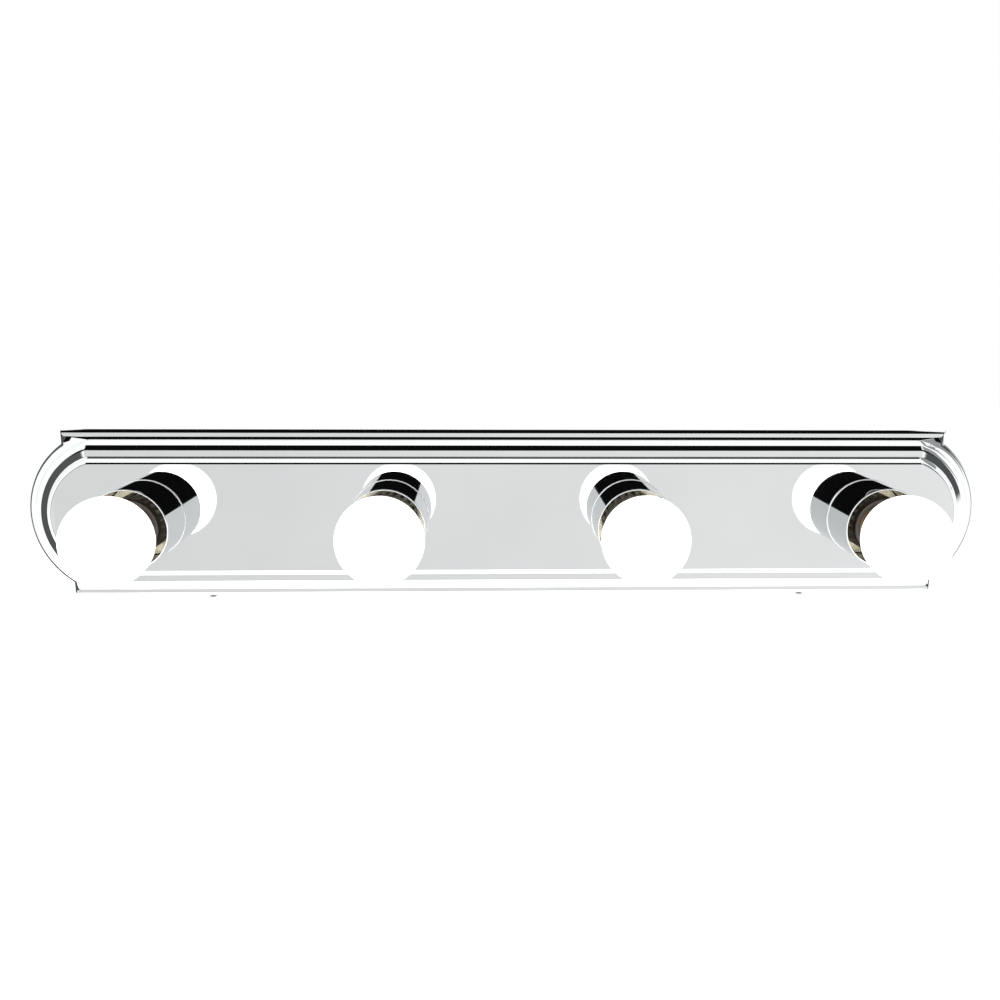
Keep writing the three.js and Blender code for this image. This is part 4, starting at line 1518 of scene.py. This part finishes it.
@dataclass
class Studio:
    """White floor, two soft lights, the camera and a shaped surround for the chrome to mirror.

    The surround is a dark ceiling, a pale panel in front of the bar and darker bands beside and
    below the panel. Its limits are angles in degrees, seen from the bar. The camera sees plain
    white in its place.
    """

    floor_height: float = -420.0
    ceiling_start: float = 3.4
    ceiling_end: float = 88.0
    ceiling_foot: float = 22.0
    panel_left: float = -24.7
    panel_right: float = 27.5
    panel_low: float = -26.0
    gap: float = 1.1
    side_width: float = 12.0
    lower_width: float = 8.0
    ceiling_left: float = -28.0
    ceiling_right: float = 30.0
    foot_spread: float = 8.0
    shade_right: float = 56.0
    edge: float = 0.35
    panel_tones: Point = (0.745, 0.86)
    left_band: Colour = (0.09, 0.095, 0.09)
    right_band: Colour = (0.08, 0.085, 0.09)
    lower_band: Colour = (0.28, 0.285, 0.28)
    right_shade: Colour = (0.33, 0.335, 0.34)
    ceiling_tone: Colour = (0.004, 0.004, 0.004)
    walls: Colour = (1.12, 1.12, 1.12)
    camera_place: Corner = (-16.32, 596.41, 122.48)
    camera_turn: float = 2.27
    camera_pitch: float = 12.39
    camera_roll: float = 0.36
    focal_length: float = 34.15
    shift: Point = (-0.0209, 0.024)

    def build(self) -> None:
        """Makes the world, floor, lights and camera."""
        self.world()
        self.floor()
        self.lights()
        self.camera()
        view = bpy.context.scene.view_settings
        view.view_transform = "Standard"
        view.look = "None"

    def world(self) -> None:
        """Paints the surround that the chrome mirrors. Camera rays see plain white instead of it."""
        world = bpy.data.worlds.new("studio")
        bpy.context.scene.world = world
        world.use_nodes = True
        tree = world.node_tree
        tree.nodes.clear()

        def add(kind: str, *values: object, **settings: object) -> bpy.types.Node:
            """Adds a node.

            Args:
                kind: The node's type.
                *values: Values or sockets for its first inputs.
                **settings: Its properties.

            Returns:
                The node.
            """
            node = tree.nodes.new(kind)
            for name, value in settings.items():
                setattr(node, name, value)
            for socket, value in zip(node.inputs, values):
                if isinstance(value, bpy.types.NodeSocket):
                    tree.links.new(value, socket)
                else:
                    socket.default_value = value
            return node

        def maths(operation: str, *values: object) -> bpy.types.NodeSocket:
            """Result of a sum."""
            return add("ShaderNodeMath", *values, operation=operation).outputs[0]

        def past(angle: bpy.types.NodeSocket, limit: float) -> bpy.types.NodeSocket:
            """Soft step from 0 to 1 where an angle passes a limit in degrees."""
            low, high = (math.radians(limit + side * self.edge) for side in (-1, 1))
            node = add("ShaderNodeMapRange", angle, low, high, 0.0, 1.0, interpolation_type="SMOOTHSTEP")
            return node.outputs[0]

        def within(angle: bpy.types.NodeSocket, low: float, high: float) -> bpy.types.NodeSocket:
            """1 where an angle is between two limits in degrees."""
            return maths("MULTIPLY", past(angle, low), maths("SUBTRACT", 1.0, past(angle, high)))

        def over(base: object, share: bpy.types.NodeSocket, tone: object) -> bpy.types.NodeSocket:
            """Colour laid over another where share is 1."""
            node = add("ShaderNodeMix", data_type="RGBA")
            top = tone if isinstance(tone, bpy.types.NodeSocket) else (*tone, 1)
            for name, value in (("Factor", share), ("A", base), ("B", top)):
                socket = next(s for s in node.inputs if s.name == name and s.enabled)
                if isinstance(value, bpy.types.NodeSocket):
                    tree.links.new(value, socket)
                else:
                    socket.default_value = value
            return next(s for s in node.outputs if s.enabled)

        direction = add("ShaderNodeSeparateXYZ", add("ShaderNodeTexCoord").outputs["Generated"]).outputs
        ahead = maths("MULTIPLY", direction[1], -1.0)
        across = maths("ARCTAN2", direction[0], ahead)
        height = maths("ARCTAN2", direction[2], maths("MAXIMUM", ahead, 0.02))
        over_top = maths("ARCTAN2", direction[2], ahead)
        left, right, low = self.panel_left, self.panel_right, self.panel_low
        far_left, far_right = left - self.gap, right + self.gap
        below_ceiling = maths("SUBTRACT", 1.0, past(height, self.ceiling_start))
        left_side = within(across, far_left - self.side_width, far_left)
        right_side = within(across, far_right, far_right + self.side_width * 0.6)
        colour = over((*self.walls, 1), maths("MULTIPLY", left_side, below_ceiling), self.left_band)
        colour = over(colour, maths("MULTIPLY", right_side, below_ceiling), self.right_band)
        lower = maths("MULTIPLY", within(height, low - self.lower_width, low), within(across, left, right))
        colour = over(colour, lower, self.lower_band)
        panel = maths("MULTIPLY", within(height, low, self.ceiling_start), within(across, left, right))
        tone = add("ShaderNodeMapRange", across, math.radians(left), math.radians(right),
                   *self.panel_tones).outputs[0]
        colour = over(colour, panel, add("ShaderNodeCombineColor", tone, tone, tone).outputs[0])
        aside = maths("ARCSINE", direction[0])
        overhead = within(over_top, self.ceiling_start, self.ceiling_end)
        shade = maths("MULTIPLY", overhead, within(aside, self.ceiling_right + 4, self.shade_right))
        colour = over(colour, shade, self.right_shade)
        ceiling = maths("MULTIPLY", overhead, within(aside, self.ceiling_left, self.ceiling_right))
        colour = over(colour, ceiling, self.ceiling_tone)
        foot_ends = (self.ceiling_left - self.foot_spread, self.ceiling_right + self.foot_spread)
        foot = maths("MULTIPLY", within(over_top, self.ceiling_start, self.ceiling_foot),
                     within(aside, *foot_ends))
        colour = over(colour, foot, self.ceiling_tone)
        studio = add("ShaderNodeBackground", colour, 1.0)
        plain = add("ShaderNodeBackground", (1.0, 1.0, 1.0, 1.0), 1.0)
        path = add("ShaderNodeLightPath")
        mixed = add("ShaderNodeMixShader", path.outputs["Is Camera Ray"], studio.outputs[0], plain.outputs[0])
        add("ShaderNodeOutputWorld", mixed.outputs[0])

    def floor(self) -> None:
        """Lays the plain pale floor."""
        data = bpy.data.meshes.new("studio_floor")
        wide, near, far, height = 4.0, -0.7, 5.0, self.floor_height * MM
        corners = [(-wide, near), (wide, near), (wide, far), (-wide, far)]
        data.from_pydata([(x, y, height) for x, y in corners], [], [(0, 1, 2, 3)])
        floor = bpy.data.objects.new("studio_floor", data)
        bpy.context.scene.collection.objects.link(floor)
        graph = Finish("pale_floor", (0.93, 0.93, 0.93), (0.90, 0.90, 0.90), (0.6, 0.8), patch=300,
                       grain=20).graph()
        graph.set(Emission_Color=(1.0, 1.0, 1.0), Emission_Strength=0.6)
        data.materials.append(graph.material)

    def lights(self) -> None:
        """Hangs two large soft lights that the chrome doesn't mirror."""
        for name, place, size, power in (
            ("soft_key", (-0.7, -1.1, 1.0), 1.2, 18.0),
            ("soft_back", (0.5, 1.2, 0.9), 1.4, 14.0),
        ):
            data = bpy.data.lights.new(name, "AREA")
            data.shape, data.size, data.energy = "SQUARE", size, power
            light = bpy.data.objects.new(name, data)
            light.location = place
            light.rotation_euler = Vector(place).to_track_quat("Z", "Y").to_euler()
            light.visible_glossy = False
            light.visible_camera = False
            bpy.context.scene.collection.objects.link(light)

    def camera(self) -> None:
        """Stands the camera in front of the bar, a little above it."""
        data = bpy.data.cameras.new("camera")
        data.lens, data.sensor_width = self.focal_length, 36
        data.shift_x, data.shift_y = self.shift
        data.clip_start, data.clip_end = 0.05, 50
        turn, pitch, roll = (math.radians(a) for a in (self.camera_turn, self.camera_pitch, self.camera_roll))
        ahead = Vector((math.sin(turn) * math.cos(pitch), math.cos(turn) * math.cos(pitch), -math.sin(pitch)))
        level = Vector((math.cos(turn), -math.sin(turn), 0))
        upright = level.cross(ahead)
        right = level * math.cos(roll) + upright * math.sin(roll)
        up = upright * math.cos(roll) - level * math.sin(roll)
        x, depth, z = self.camera_place
        camera = bpy.data.objects.new("camera", data)
        axes = Matrix((right, up, -ahead)).transposed().to_4x4()
        camera.matrix_world = Matrix.Translation(Vector((x, -depth, z)) * MM) @ axes
        bpy.context.scene.collection.objects.link(camera)
        bpy.context.scene.camera = camera


def main() -> None:
    """Builds the bar from the wall outwards, then the studio."""
    logging.basicConfig(level=logging.INFO, format="%(name)s: %(message)s")
    shop = Workshop()
    numbers = range(1, 5)
    light_xs = [sum(corner.x for corner in extent(f"socket_cup_{number}")) / 2 for number in numbers]
    pan = BackPan(shop)
    pan.build()
    pan.bush()
    Wiring(shop, light_xs).build()
    FaceCover(shop, light_xs).build()
    for side in ("left", "right"):
        CoverScrew(shop, side).build()
    for number in numbers:
        SocketCup(shop, number).build()
        Lampholder(shop, number).build()
        Bulb(shop, number).build()
    Studio().build()


if __name__ == "__main__":
    main()
